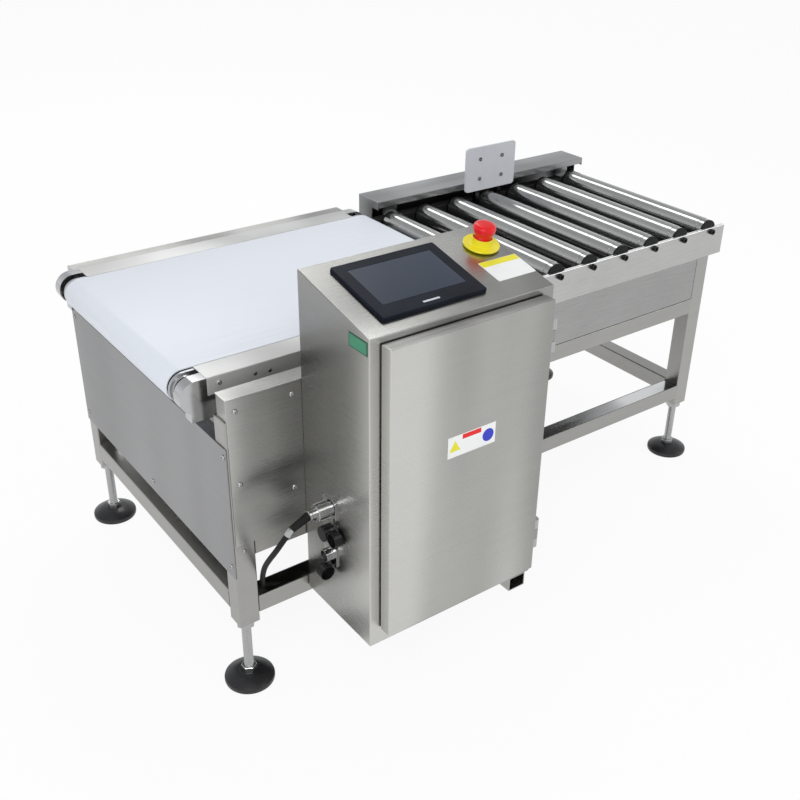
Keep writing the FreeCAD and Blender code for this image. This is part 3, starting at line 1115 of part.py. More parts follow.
# Signal sockets on the cabinet's left side, their dust caps, and the plug with its cable
def hanging_cap(socket_z, centre, axis):
    """A dust cap that hangs on its strap from the front lower corner of a socket's flange."""
    reach = SOCKET_FLANGE / 2 - STRAP_INSET
    corner = V(SOCKET_FACE, SOCKET_Y - reach, socket_z - reach)
    cap = rod(DUST_CAP_RADIUS, centre - axis * DUST_CAP / 2, centre + axis * DUST_CAP / 2)
    depth = DUST_CAP / 2 - DUST_CAP_END
    cap = cap.cut(rod(SOCKET_RADIUS, centre - axis * DUST_CAP, centre + axis * depth))
    end = centre + axis * (DUST_CAP - DUST_CAP_END) / 2 + V(0, 0, DUST_CAP_RADIUS - STRAP_RADIUS)
    strap = rod(STRAP_RADIUS, corner, end).fuse(Part.makeSphere(STRAP_RADIUS, corner))
    wall = box(SOCKET_FACE, CABINET_LEFT, SOCKET_Y - SOCKET_FLANGE, SOCKET_Y + SOCKET_FLANGE,
               socket_z - SOCKET_FLANGE, socket_z + SOCKET_FLANGE)
    return cap.fuse(strap).cut(wall).removeSplitter()


def make_sockets():
    half = SOCKET_FLANGE / 2
    sockets = []
    for z in SOCKET_HEIGHTS:
        flange = box(SOCKET_FACE, CABINET_LEFT, SOCKET_Y - half, SOCKET_Y + half, z - half, z + half)
        flange = flange.makeFillet(SOCKET_FLANGE_CORNER, along(flange, X_AXIS))
        barrel = rod(SOCKET_RADIUS, (SOCKET_MOUTH, SOCKET_Y, z), (SOCKET_FACE, SOCKET_Y, z))
        tail = rod(SOCKET_TAIL_RADIUS, (CABINET_LEFT, SOCKET_Y, z),
                   (CABINET_LEFT + SOCKET_TAIL, SOCKET_Y, z))
        bore = rod(SOCKET_BORE_RADIUS, (SOCKET_MOUTH - 1, SOCKET_Y, z),
                   (SOCKET_FACE - SIDE_GAP, SOCKET_Y, z))
        sockets.append(flange.fuse([barrel, tail]).removeSplitter().cut(bore))
    save("signal_sockets", *sockets)

    z = SOCKET_HEIGHTS[1]
    fitted = rod(DUST_CAP_RADIUS, (SOCKET_MOUTH - DUST_CAP_END, SOCKET_Y, z),
                 (SOCKET_MOUTH - DUST_CAP_END + DUST_CAP, SOCKET_Y, z))
    fitted = fitted.cut(rod(SOCKET_RADIUS, (SOCKET_MOUTH, SOCKET_Y, z), (SOCKET_FACE, SOCKET_Y, z)))
    upper = V(SOCKET_FACE - DUST_CAP / 2, SOCKET_Y - 2 * DUST_CAP_RADIUS - SIDE_GAP, z + DUST_CAP_END)
    lower = V(SOCKET_FACE - DUST_CAP_RADIUS - CAP_CLEAR, SOCKET_Y - CAP_SWAY,
              SOCKET_HEIGHTS[2] - SOCKET_RADIUS - DUST_CAP_RADIUS - CAP_CLEAR)
    save("dust_caps", fitted, hanging_cap(SOCKET_HEIGHTS[0], upper, X_AXIS),
         hanging_cap(SOCKET_HEIGHTS[2], lower, Y_AXIS))


def bent_tube(points, radius):
    """A tube along straight runs joined by tangent arcs, each as large as its two runs allow."""
    edges, radii = [], []
    start = points[0]
    for before, corner, after in zip(points, points[1:], points[2:]):
        into, out = corner - before, after - corner
        turn = into.getAngle(out)
        bend = 0.45 * min(into.Length, out.Length) / math.tan(turn / 2)
        radii.append(round(bend))
        reach = bend * math.tan(turn / 2)
        into.normalize()
        out.normalize()
        first, last = corner - into * reach, corner + out * reach
        middle = corner + (out - into).normalize() * bend * (1 / math.cos(turn / 2) - 1)
        edges += [Part.LineSegment(start, first).toShape(), Part.Arc(first, middle, last).toShape()]
        start = last
    edges.append(Part.LineSegment(start, points[-1]).toShape())
    path = Part.Wire(edges)
    section = Part.Wire(Part.makeCircle(radius, points[0], points[1] - points[0]))
    tube = path.makePipeShell([section], True, False)
    share = tube.Volume / (math.pi * radius ** 2 * path.Length)
    print("cable radii", radii, "length", round(path.Length))
    print("volume over section times length", round(share, 4))
    return tube


BOOT_START = V(SOCKET_MOUTH + COUPLING_GRIP - COUPLING_LENGTH - BACKSHELL_LENGTH, SOCKET_Y, SOCKET_TOP_Z)
BOOT_END = BOOT_START + BOOT_REACH
FERRULE_END = BOOT_END + FERRULE_REACH
CABLE_ROUTE = [
    FERRULE_END,
    FERRULE_END + FERRULE_REACH * 1.5,
    V(40.0, -70.8, 341.3),
    V(37.2, -55.0, 318.3),
    V(38.7, -37.0, 294.3),
    V(43.5, -18.5, 268.7),
    V(49.0, -1.5, 239.8),
    V(54.8, 11.3, 211.5),
    V(66.0, 19.1, 194.2),
    V(82.9, 24.9, 181.4),
    V(103.6, 28.0, 174.6),
    V(128.0, 25.5, 175.0),
    V(147.0, TUBE / 2, GLAND_Z),
    V(GLAND_X, TUBE / 2, GLAND_Z),
]


def make_plug_and_cable():
    ring_end = SOCKET_MOUTH + COUPLING_GRIP
    ring_start = V(ring_end - COUPLING_LENGTH, SOCKET_Y, SOCKET_TOP_Z)
    ring = rod(COUPLING_RADIUS, ring_start, (ring_end, SOCKET_Y, SOCKET_TOP_Z))
    shell = rod(BACKSHELL_RADIUS, BOOT_START, ring_start)
    boot = Part.makeCone(BOOT_RADIUS, BOOT_TIP_RADIUS, BOOT_REACH.Length, BOOT_START, BOOT_REACH)
    ferrule = rod(FERRULE_RADIUS, BOOT_END, FERRULE_END)
    plug = ring.fuse([shell, Part.makeSphere(BOOT_RADIUS, BOOT_START), boot,
                      Part.makeSphere(FERRULE_RADIUS, BOOT_END), ferrule])
    socket = rod(SOCKET_RADIUS, (SOCKET_MOUTH, SOCKET_Y, SOCKET_TOP_Z),
                 (SOCKET_FACE, SOCKET_Y, SOCKET_TOP_Z))
    save("signal_plug", plug.cut(socket).removeSplitter())
    save("signal_cable", bent_tube(CABLE_ROUTE, CABLE_RADIUS))


def main():
    os.makedirs("parts", exist_ok=True)
    make_legs_and_feet()
    make_rails()
    make_trays()
    make_weigh_panels()
    make_load_cell()
    make_conveyor()
    make_drive()
    make_roller_table()
    make_guide_cover()
    make_pusher()
    make_cabinet_body()
    make_door()
    make_hmi()
    make_emergency_stop()
    make_control_gear()
    make_sockets()
    make_plug_and_cable()


main()
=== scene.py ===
# %% [markdown]
# # A checkweigher, dressed in Blender
# The machine stands on eight levelling feet. A white belt weighs each carton, seven polished rollers take it
# on, and a plate pushes the light ones off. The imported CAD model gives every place. This script adds the smooth
# turned pieces, the screws and the finishes.

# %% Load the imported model
import json
import math
import bpy
from mathutils import Matrix, Vector


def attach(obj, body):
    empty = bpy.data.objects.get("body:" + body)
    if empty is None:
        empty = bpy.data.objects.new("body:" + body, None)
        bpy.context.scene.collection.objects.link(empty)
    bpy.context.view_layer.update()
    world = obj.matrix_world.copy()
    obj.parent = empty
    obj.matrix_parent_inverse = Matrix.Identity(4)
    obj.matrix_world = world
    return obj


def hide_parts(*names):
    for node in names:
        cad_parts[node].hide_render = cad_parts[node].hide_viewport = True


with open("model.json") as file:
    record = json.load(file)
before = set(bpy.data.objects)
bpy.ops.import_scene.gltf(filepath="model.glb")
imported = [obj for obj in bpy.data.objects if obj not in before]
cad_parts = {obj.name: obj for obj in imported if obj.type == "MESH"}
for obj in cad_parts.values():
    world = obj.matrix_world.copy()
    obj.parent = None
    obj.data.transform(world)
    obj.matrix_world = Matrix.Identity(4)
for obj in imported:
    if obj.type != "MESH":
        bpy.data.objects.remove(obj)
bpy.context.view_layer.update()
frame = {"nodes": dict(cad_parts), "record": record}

nodes = frame["nodes"]

# %% [markdown]
# ## Places in workshop millimetres
# The drawing measures from the weigh frame's left front corner on the floor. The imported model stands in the
# middle of its footprint, in metres, so one helper turns a drawing place into a scene place.

# %% From the drawing to the scene
MIDDLE = Vector((653.0, 242.25, 0.0))


def at(x, y, z):
    return (Vector((x, y, z)) - MIDDLE) / 1000


def mm(value):
    return value / 1000


FRONT, REAR, LEFT, RIGHT = (0, -1, 0), (0, 1, 0), (-1, 0, 0), (1, 0, 0)
print("weigh frame corner at", at(0, 0, 0))

# %% [markdown]
# ## Camera
# The picture looks down on the machine from the left front. Azimuth, elevation and a little roll were
# measured from its straight edges, and so was the lens.

# %% Camera
AZIMUTH, ELEVATION, ROLL = 36.16, 29.32, 0.739
camera_data = bpy.data.cameras.new("camera")
camera_data.sensor_width = 36
camera_data.lens = 47.13
camera_data.clip_end = 100
camera = bpy.data.objects.new("camera", camera_data)
bpy.context.scene.collection.objects.link(camera)
bpy.context.scene.camera = camera
swing = Matrix.Rotation(math.radians(-AZIMUTH), 4, "Z")
dip = Matrix.Rotation(math.radians(90 - ELEVATION), 4, "X")
tilt = Matrix.Rotation(math.radians(ROLL), 4, "Z")
camera.matrix_world = Matrix.Translation(at(-623.1, -1328.6, 1429.2)) @ swing @ dip @ tilt
print("camera", camera.matrix_world.translation)

# %% [markdown]
# ## The signal cable
# The load cell's cable leaves its plug on the cabinet, drops in a lazy curve past the leg and lies down in the
# tray, where a gland takes it. A NURBS line of low order over a few listed points gives that sag.

# %% Signal cable
CABLE_RADIUS = mm(5)
ROUTE = [(57.8, -82.6, 376.0), (47.0, -80.5, 361.75), (40.0, -70.8, 341.3), (37.2, -55.0, 318.3),
         (38.7, -37.0, 294.3), (43.5, -18.5, 268.7), (49.0, -1.5, 239.8), (54.8, 11.3, 211.5),
         (66.0, 19.1, 194.2), (82.9, 24.9, 181.4), (103.6, 28.0, 174.6), (128.0, 25.5, 175.0),
         (147.0, 20.0, 175.0), (165.0, 20.0, 175.0)]
curve = bpy.data.curves.new("signal_cable_jacket", "CURVE")
curve.dimensions = "3D"
line = curve.splines.new("NURBS")
line.points.add(len(ROUTE) - 1)
for point, place in zip(line.points, ROUTE):
    point.co = (*at(*place), 1)
line.order_u = 3
line.use_endpoint_u = True
line.resolution_u = 12
cable = bpy.data.objects.new("signal_cable_jacket", curve)
bpy.context.scene.collection.objects.link(cable)
drawn = bpy.data.meshes.new_from_object(cable)
bpy.data.meshes.remove(drawn)
curve.bevel_depth = CABLE_RADIUS
curve.bevel_resolution = 6
curve.use_fill_caps = True

# %% [markdown]
# ## A small language for shaders
# A finish is arithmetic on patterns. Wrapping a socket in a class with + - * and / lets that arithmetic be
# written as it is on paper, and one more method adds any other node.

# %% Shader helper
class Wire:
    """An output socket that can be used in sums."""

    def __init__(self, finish, socket):
        self.finish, self.socket = finish, socket

    def maths(self, operation, a, b):
        return self.finish.node("ShaderNodeMath", {"operation": operation}, {0: a, 1: b})

    def __add__(self, other):
        return self.maths("ADD", self, other)

    def __radd__(self, other):
        return self.maths("ADD", other, self)

    def __sub__(self, other):
        return self.maths("SUBTRACT", self, other)

    def __rsub__(self, other):
        return self.maths("SUBTRACT", other, self)

    def __mul__(self, other):
        return self.maths("MULTIPLY", self, other)

    def __rmul__(self, other):
        return self.maths("MULTIPLY", other, self)

    def __truediv__(self, other):
        return self.maths("DIVIDE", self, other)

    def __gt__(self, other):
        return self.maths("GREATER_THAN", self, other)

    def __lt__(self, other):
        return self.maths("LESS_THAN", self, other)


class Finish:
    """A material that is built up node by node."""

    def __init__(self, name):
        self.material = bpy.data.materials.new(name)
        self.material.use_nodes = True
        self.tree = self.material.node_tree
        self.shader = self.tree.nodes["Principled BSDF"]

    def node(self, kind, settings=None, inputs=None, output=0):
        made = self.tree.nodes.new(kind)
        for key, value in (settings or {}).items():
            setattr(made, key, value)
        for key, value in (inputs or {}).items():
            self.plug(made.inputs[key], value)
        return Wire(self, made.outputs[output])

    def plug(self, socket, value):
        if isinstance(value, Wire):
            self.tree.links.new(value.socket, socket)
        elif isinstance(value, tuple) and socket.type == "RGBA" and len(value) == 3:
            socket.default_value = (*value, 1)
        else:
            socket.default_value = value

    def set(self, **values):
        for key, value in values.items():
            self.plug(self.shader.inputs[key.replace("_", " ")], value)
        return self

    def place(self, output="Object"):
        return self.node("ShaderNodeTexCoord", output=output)

    def axes(self, vector):
        return [self.node("ShaderNodeSeparateXYZ", None, {0: vector}, output=i) for i in range(3)]

    def stretch(self, vector, scale):
        return self.node("ShaderNodeMapping", None, {"Vector": vector, "Scale": scale})

    def noise(self, vector, scale, detail=2.0, rough=0.5):
        return self.node("ShaderNodeTexNoise", {"noise_dimensions": "3D"},
                         {"Vector": vector, "Scale": scale, "Detail": detail, "Roughness": rough})

    def blend(self, factor, a, b):
        return self.node("ShaderNodeMix", {"data_type": "RGBA"}, {0: factor, 6: a, 7: b}, output=2)

    def bump(self, height, strength, distance):
        return self.node("ShaderNodeBump", None,
                         {"Strength": strength, "Distance": distance, "Height": height})

    def band(self, wire, low, high, to_low=0.0, to_high=1.0):
        """Remaps a value, held at both ends."""
        return self.node("ShaderNodeMapRange", {"interpolation_type": "SMOOTHSTEP"},
                         {0: wire, 1: low, 2: high, 3: to_low, 4: to_high})


print("shader helper ready")

# %% [markdown]
# ## Brushed stainless steel
# Belt-ground sheet has fine scratches all in one direction. They vary fast across the grain and slowly along
# it, so a noise pattern squeezed on one axis draws them. The grain runs level on upright faces and along the
# machine on level ones. Clouds and long stripes vary the tone at random, for the uneven pressure of the belt
# grinder. They also paint reflection: lighter and darker zones in the colour, as an uneven floor would show in
# the metal. Wide sheets also get soft upright bands of painted reflection, as a room would show itself in them.

# %% Brushed steel
FINE, SLOW = 1500.0, 14.0


def brushed(name, colour, rough=0.3, grain="level", streak=0.055, aniso=0.55, cloud=0.06, metal=1.0,
            painted_reflection_bands=0.0):
    f = Finish(name)
    place = f.place()
    level = f.noise(f.stretch(place, (SLOW, SLOW, FINE)), 1.0, 3.0, 0.62)
    if grain == "level":
        flat = f.noise(f.stretch(place, (SLOW, FINE, SLOW)), 1.0, 3.0, 0.62)
        upward = f.axes(f.place("Normal"))[2]
        lines = level + (flat - level) * f.band(upward * upward, 0.45, 0.55)
    elif grain == "upright":
        lines = f.noise(f.stretch(place, (FINE, FINE, SLOW)), 1.0, 3.0, 0.62)
    else:
        lines = f.noise(f.stretch(place, (SLOW, FINE, FINE)), 1.0, 3.0, 0.62)
    clouds = f.noise(place, 5.0, 3.0, 0.55)
    # The clouds and these long stripes vary the tone at random, and they also paint reflection into the colour.
    wide = f.noise(f.stretch(place, (1.2, 1.2, 90.0)), 1.0, 2.0, 0.5)
    shade = 1.0 + (lines - 0.5) * streak * 2 + (clouds - 0.5) * cloud * 2 + (wide - 0.5) * cloud
    # Soft upright bands of painted reflection: lighter and darker columns in the colour.
    if painted_reflection_bands:
        painted_reflection_column = f.noise(f.stretch(place, (5.5, 5.5, 0.5)), 1.0, 1.0, 0.4)
        shade = shade + (f.band(painted_reflection_column, 0.3, 0.7) - 0.5) * painted_reflection_bands
    dark = tuple(c * 0.5 for c in colour)
    bright = tuple(min(1.0, c * 1.5) for c in colour)
    tint = f.blend(f.band(shade, 0.5, 1.5), dark, bright)
    roughness = rough + (lines - 0.5) * 0.16 + (clouds - 0.5) * 0.12
    f.set(Base_Color=tint, Metallic=metal, Roughness=roughness, Anisotropic=aniso,
          Normal=f.bump(lines, 0.06, 0.0001))
    return f.material


STEEL = {
    "sheet": brushed("sheet steel, ground level", (0.45, 0.447, 0.43), 0.30, streak=0.04, painted_reflection_bands=0.55),
    # The belt side cover is a lighter, half-metallic copy of the sheet steel, so that the key lamp lights it:
    # painted light.
    "side": brushed("belt side cover steel, painted lighter", (0.56, 0.56, 0.55), 0.34, metal=0.5, streak=0.03, painted_reflection_bands=0.3),
    # The end panels get a darker copy of the same steel: painted shade.
    "panel": brushed("end panel steel in painted shade", (0.30, 0.30, 0.305), 0.36, "level", 0.06, 0.4, 0.05, painted_reflection_bands=0.14),
    "cabinet": brushed("cabinet steel, ground level", (0.47, 0.466, 0.446), 0.29, streak=0.032, cloud=0.035,
                       painted_reflection_bands=0.42),
    "tube": brushed("square tube, ground lengthwise", (0.38, 0.375, 0.36), 0.32, "level", 0.05),
    "leg": brushed("leg tube, ground upright", (0.40, 0.395, 0.38), 0.32, "upright", 0.05),
    "turned": brushed("turned steel", (0.45, 0.45, 0.45), 0.20, "round", 0.05, 0.2, 0.03),
    "tray": brushed("polished tray cover", (0.60, 0.60, 0.60), 0.17, "level", 0.03, painted_reflection_bands=0.9),
    "cap": brushed("polished nose cap", (0.50, 0.50, 0.51), 0.16, "level", 0.04, 0.2, 0.03),
    "dark": brushed("dark bracket steel", (0.17, 0.17, 0.175), 0.34),
    "black": brushed("blackened screw steel", (0.03, 0.03, 0.032), 0.30, "round", 0.05, 0.0, 0.03),
    "alloy": brushed("drawn alloy", (0.50, 0.51, 0.53), 0.36, "level", 0.06, 0.3),
    "zinc": brushed("zinc plated sheet", (0.55, 0.55, 0.53), 0.42, "level", 0.03, 0.0, 0.10),
}
print(len(STEEL), "steels")

# %% [markdown]
# ## Plastics, rubber and paint
# Moulded parts are not flat in colour: they have a fine spark-eroded texture and a slight drift of shade. One
# helper makes them all, from a colour, a gloss and the size of the texture.

# %% Moulded finishes
def moulded(name, colour, rough, grain=900.0, depth=0.00006, sheen=0.0, coat=0.0, drift=0.18, shine=0.5):
    f = Finish(name)
    place = f.place()
    speck = f.noise(place, grain, 2.0, 0.6)
    cloud = f.noise(place, 14.0, 3.0, 0.55)
    mask = f.band(cloud + (speck - 0.5) * 0.4, 0.3, 0.7)
    darker = tuple(c * (1 - drift) for c in colour)
    lighter = tuple(min(1.0, c * (1 + drift) + 0.004) for c in colour)
    f.set(Base_Color=f.blend(mask, darker, lighter),
          Roughness=rough + (speck - 0.5) * 0.16 + (cloud - 0.5) * 0.1,
          Normal=f.bump(speck, 0.35, depth), Sheen_Weight=sheen, Coat_Weight=coat, Coat_Roughness=0.08,
          Specular_IOR_Level=shine)
    return f.material


PLASTIC = {
    "black": moulded("black moulding", (0.008, 0.008, 0.009), 0.36, shine=0.35),
    "foot": moulded("satin black foot", (0.010, 0.010, 0.012), 0.34, 400.0, 0.00003, 0.0, 0.12),
    "cable": moulded("cable jacket", (0.006, 0.006, 0.006), 0.46, 1500.0, 0.00004, shine=0.2),
    "rubber": moulded("black rubber", (0.010, 0.010, 0.010), 0.6, 1200.0, 0.00008, shine=0.2),
    "red": moulded("red push button", (0.76, 0.008, 0.012), 0.30, 500.0, 0.00002, 0.0, 0.12, 0.06, 0.3),
    "yellow": moulded("yellow guard ring", (0.84, 0.74, 0.012), 0.34, 700.0, 0.00003, 0.0, 0.2, 0.06),
    "bezel": moulded("panel housing", (0.005, 0.008, 0.015), 0.42, 1100.0, 0.00002, shine=0.12),
    "plate": moulded("anodised pusher plate", (0.60, 0.615, 0.65), 0.46, 700.0, 0.00002, 0.0, 0.1, 0.03),
    "blue": moulded("plain blue field", (0.012, 0.03, 0.52), 0.4, 700.0, 0.00002, drift=0.05),
    "dark_green": moulded("dark green edge", (0.01, 0.07, 0.035), 0.4, 700.0, 0.00002, drift=0.08),
    "name": moulded("blank name plate", (0.55, 0.58, 0.64), 0.4, 700.0, 0.00002, 0.0, 0.0, 0.05),
    "strip": moulded("plain yellow strip", (0.80, 0.74, 0.02), 0.4, 700.0, 0.00002, 0.0, 0.1, 0.05),
    "gear": moulded("control gear housing", (0.055, 0.06, 0.062), 0.48),
    "grey": moulded("grey terminal", (0.42, 0.43, 0.42), 0.5, 800.0, 0.00004, 0.0, 0.0, 0.08),
    "motor": moulded("motor enamel", (0.03, 0.032, 0.036), 0.36, 260.0, 0.0001, 0.0, 0.3),
    "white_plate": moulded("blank white plate", (0.86, 0.87, 0.86), 0.36, 900.0, 0.00002, 0.0, 0.2, 0.03),
    "green_plate": moulded("blank green plate", (0.03, 0.24, 0.125), 0.38, 900.0, 0.00002, 0.0, 0.2, 0.08),
}
print(len(PLASTIC), "plastics")

# %% [markdown]
# ## The belt's cover
# A food belt is white plastic on woven cloth. Its top shows the cloth faintly, as a fine grid, and it carries
# slight scuffs along its travel.

# %% Belt cover
def belt_finish():
    f = Finish("white belt cover")
    place = f.place()
    x, y, z = f.axes(place)
    weave_x = f.node("ShaderNodeMath", {"operation": "SINE"}, {0: x * 3400.0})
    weave_y = f.node("ShaderNodeMath", {"operation": "SINE"}, {0: y * 3400.0})
    weave = weave_x * weave_y * 0.5 + 0.5
    scuff = f.noise(f.stretch(place, (6.0, 240.0, 6.0)), 1.0, 4.0, 0.6)
    cloud = f.noise(place, 4.0, 3.0, 0.5)
    worn = f.band(scuff + (cloud - 0.5) * 0.6, 0.52, 0.78)
    f.set(Base_Color=f.blend(worn * 0.5, (0.73, 0.765, 0.83), (0.66, 0.70, 0.77)),
          Roughness=0.40 + (weave - 0.5) * 0.08 + worn * 0.08,
          Normal=f.bump(weave + scuff * 0.6, 0.25, 0.00006), Sheen_Weight=0.1)
    return f.material


BELT = belt_finish()

# %% [markdown]
# ## Polished roller tube
# The tubes are drawn and polished, so they show dark and bright strips along their length. Their end caps are
# black plastic, with a steel sleeve at the front. One finish serves both, told apart by how far along the
# roller a point is.

# %% Roller finish
CAP_FRONT, CAP_REAR = at(0, 120.5, 0).y, at(0, 573.0, 0).y


def roller_finish():
    f = Finish("polished roller tube")
    place = f.place()
    x, y, z = f.axes(place)
    cap = (y < CAP_FRONT) + (y > CAP_REAR)
    rings = f.noise(f.stretch(place, (30.0, 1400.0, 30.0)), 1.0, 3.0, 0.6)
    smear = f.noise(f.stretch(place, (60.0, 5.0, 60.0)), 1.0, 3.0, 0.6)
    steel = f.blend(f.band(rings * 0.5 + smear * 0.5, 0.3, 0.7), (0.36, 0.365, 0.36), (0.48, 0.48, 0.47))
    f.set(Base_Color=f.blend(cap, steel, (0.003, 0.003, 0.0035)), Metallic=(1.0 - cap) * 0.95,
          Roughness=0.17 + (rings - 0.5) * 0.1 + (smear - 0.5) * 0.08 + cap * 0.3,
          Normal=f.bump(rings, 0.08, 0.00006), Specular_IOR_Level=0.2)
    return f.material


ROLLER = roller_finish()

# %% [markdown]
# ## Steel with painted shade inside
# Under the rollers, between the table's front and rear faces, the sheets are painted near black: painted shade
# for the dark under the rollers. Outside, the same sheets are bare steel, and their faces turned upwards are
# painted near white: a painted highlight on the flanges. A finish that goes by the distance from the table's
# front and rear faces shows both. The thin dark line round the skirt panel is painted shade in its joint's gap.

# %% Steel with painted shade inside
SEAM_TOP, SEAM_LEFT, SEAM_RIGHT = 434.6, 770.6, 1272.4


def shade_painted_inside(name, colour, front, rear, shade_the_joint_gaps=False):
    f = Finish(name)
    place = f.place()
    x, y, z = f.axes(place)
    # Between the table's front and rear faces the sheets are painted near black: painted shade for the dark under
    # the rollers.
    inside = (y > at(0, front, 0).y) * (y < at(0, rear, 0).y)
    lines = f.noise(f.stretch(place, (14.0, 14.0, 1500.0)), 1.0, 3.0, 0.62)
    clouds = f.noise(place, 5.0, 3.0, 0.55)
    shade = f.band(lines * 0.7 + clouds * 0.3, 0.3, 0.7)
    steel = f.blend(shade, tuple(c * 0.88 for c in colour), tuple(c * 1.12 for c in colour))
    # Faces turned upwards are painted near white: a painted highlight on the flanges.
    steel = f.blend(f.axes(f.place("Normal"))[2] > 0.3, steel, (0.94, 0.94, 0.93))
    if shade_the_joint_gaps:
        # A thin near-black line round the skirt panel: painted shade in the gap of its joint.
        painted_gap_shade = (z < at(0, 0, SEAM_TOP).z) + (x > at(SEAM_RIGHT, 0, 0).x) + (x < at(SEAM_LEFT, 0, 0).x)
        steel = f.blend(painted_gap_shade, steel, (0.015, 0.015, 0.015))
    f.set(Base_Color=f.blend(inside, steel, (0.004, 0.004, 0.004)), Metallic=1.0 - inside,
          Roughness=0.28 + (lines - 0.5) * 0.2 + inside * 0.5, Anisotropic=0.5,
          Normal=f.bump(lines, 0.12, 0.00012))
    return f.material


STEEL["skirt"] = shade_painted_inside("skirt steel, lined", (0.36, 0.36, 0.355), 108.5, 638.5, True)
STEEL["front_rail"] = shade_painted_inside("roller rail steel, lined", (0.50, 0.50, 0.49), 115.6, 604.0)
STEEL["guide"] = brushed("guide cover steel", (0.33, 0.335, 0.34), 0.30, "level", 0.05, painted_reflection_bands=0.35)

# %% [markdown]
# ## The operator panel's glass
# A dark display behind glass is a slate colour with a very soft lighter fall-off to one corner, and a black
# printed border.

# %% Screen finish
def screen_finish():
    f = Finish("display glass")
    place = f.place()
    x, y, z = f.axes(place)
    fall = f.band((x - at(200, 0, 0).x) * 3.0 + (y - at(0, -120, 0).y) * 5.0, -0.5, 1.0)
    smudge = f.noise(place, 22.0, 3.0, 0.6)
    f.set(Base_Color=f.blend(fall, (0.024, 0.033, 0.052), (0.045, 0.056, 0.082)),
          Roughness=0.24 + (smudge - 0.5) * 0.08, Specular_IOR_Level=0.25,
          Normal=f.bump(smudge, 0.02, 0.0001))
    return f.material


SCREEN = screen_finish()
print("finishes ready")

# %% [markdown]
# ## Working by hand in edit mode
# Everything new starts from a primitive at its real size. Operators act on what is selected, so each step
# first clears the selection.

# %% Selecting, applying and placing
def only(piece):
    bpy.ops.object.select_all(action="DESELECT")
    piece.select_set(True)
    bpy.context.view_layer.objects.active = piece


def settle(piece, direction=(0, 0, 1), place=(0, 0, 0)):
    """Turns a piece made along Z to a direction, moves it, and puts that into its mesh."""
    only(piece)
    piece.rotation_mode = "QUATERNION"
    piece.rotation_quaternion = Vector((0, 0, 1)).rotation_difference(Vector(direction).normalized())
    piece.location = Vector(place)
    bpy.ops.object.transform_apply(location=True, rotation=True, scale=True)
    return piece


def modify(piece, kind, **settings):
    only(piece)
    modifier = piece.modifiers.new("step", kind)
    for key, value in settings.items():
        setattr(modifier, key, value)
    bpy.ops.object.modifier_apply(modifier=modifier.name)


def smooth(piece, degrees=35, flat=False):
    """Smooth shading up to an angle. With flat, wide faces stay flat up to their rounded edges."""
    only(piece)
    bpy.ops.object.shade_smooth_by_angle(angle=math.radians(degrees))
    if flat:
        modify(piece, "WEIGHTED_NORMAL", weight=100, keep_sharp=True)


def finish(piece, material, body="machine", slot=None, stands_for=()):
    piece.data.materials.clear()
    piece.data.materials.append(material)
    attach(piece, body)
    if stands_for:
        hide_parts(*stands_for)
    return piece


def twin(piece, name, shift):
    """A copy with its own mesh, moved by millimetres."""
    copy = bpy.data.objects.new(name, piece.data.copy())
    bpy.context.scene.collection.objects.link(copy)
    copy.data.transform(Matrix.Translation(Vector(shift) / 1000))
    return copy


# %% [markdown]
# ## Turned pieces
# A lathe part is a stack of rings. A disc is added, and its face is extruded upwards and resized ring by
# ring down the list of radii and heights.

# %% Turning
def turned(name, profile, sides=48, direction=(0, 0, 1), place=(0, 0, 0), sharp=35):
    bpy.ops.object.select_all(action="DESELECT")
    radius, height = profile[0]
    bpy.ops.mesh.primitive_circle_add(vertices=sides, radius=mm(radius), fill_type="NGON",
                                      location=(0, 0, mm(height)))
    piece = bpy.context.object
    piece.name = name
    bpy.ops.object.transform_apply(location=True)
    bpy.ops.object.mode_set(mode="EDIT")
    bpy.ops.mesh.select_all(action="SELECT")
    for next_radius, next_height in profile[1:]:
        bpy.ops.mesh.extrude_region_move(TRANSFORM_OT_translate={"value": (0, 0, mm(next_height - height))})
        ratio = next_radius / radius
        bpy.ops.transform.resize(value=(ratio, ratio, 1), center_override=(0, 0, mm(next_height)))
        radius, height = next_radius, next_height
    bpy.ops.mesh.select_all(action="SELECT")
    bpy.ops.mesh.normals_make_consistent(inside=False)
    bpy.ops.object.mode_set(mode="OBJECT")
    settle(piece, direction, place)
    smooth(piece, sharp)
    return piece


def block(name, low, high, edge=0.8, steps=2):
    """A box between two drawing places with rounded edges."""
    bpy.ops.object.select_all(action="DESELECT")
    low, high = Vector(low), Vector(high)
    bpy.ops.mesh.primitive_cube_add(size=1, location=at(*((low + high) / 2)))
    piece = bpy.context.object
    piece.name = name
    piece.scale = (high - low) / 1000
    bpy.ops.object.transform_apply(location=True, scale=True)
    if edge:
        modify(piece, "BEVEL", width=mm(edge), segments=steps, limit_method="ANGLE")
        smooth(piece, 35, True)
    return piece


# %% [markdown]
# ## Dressing a CAD node
# The CAD sheet and tube have the right forms and razor edges. Real sheet has a small rolled radius that catches
# the light, so a copy of the node is welded, its flat faces are joined up, its edges are bevelled, and the copy
# stands for the node.

# %% Dressing
def body_of(node):
    for body, members in frame["record"]["behaviour"]["bodies"].items():
        if node in members:
            return body


SLOTS = {part["node"]: part["material_slot"] for part in frame["record"]["subparts"]}


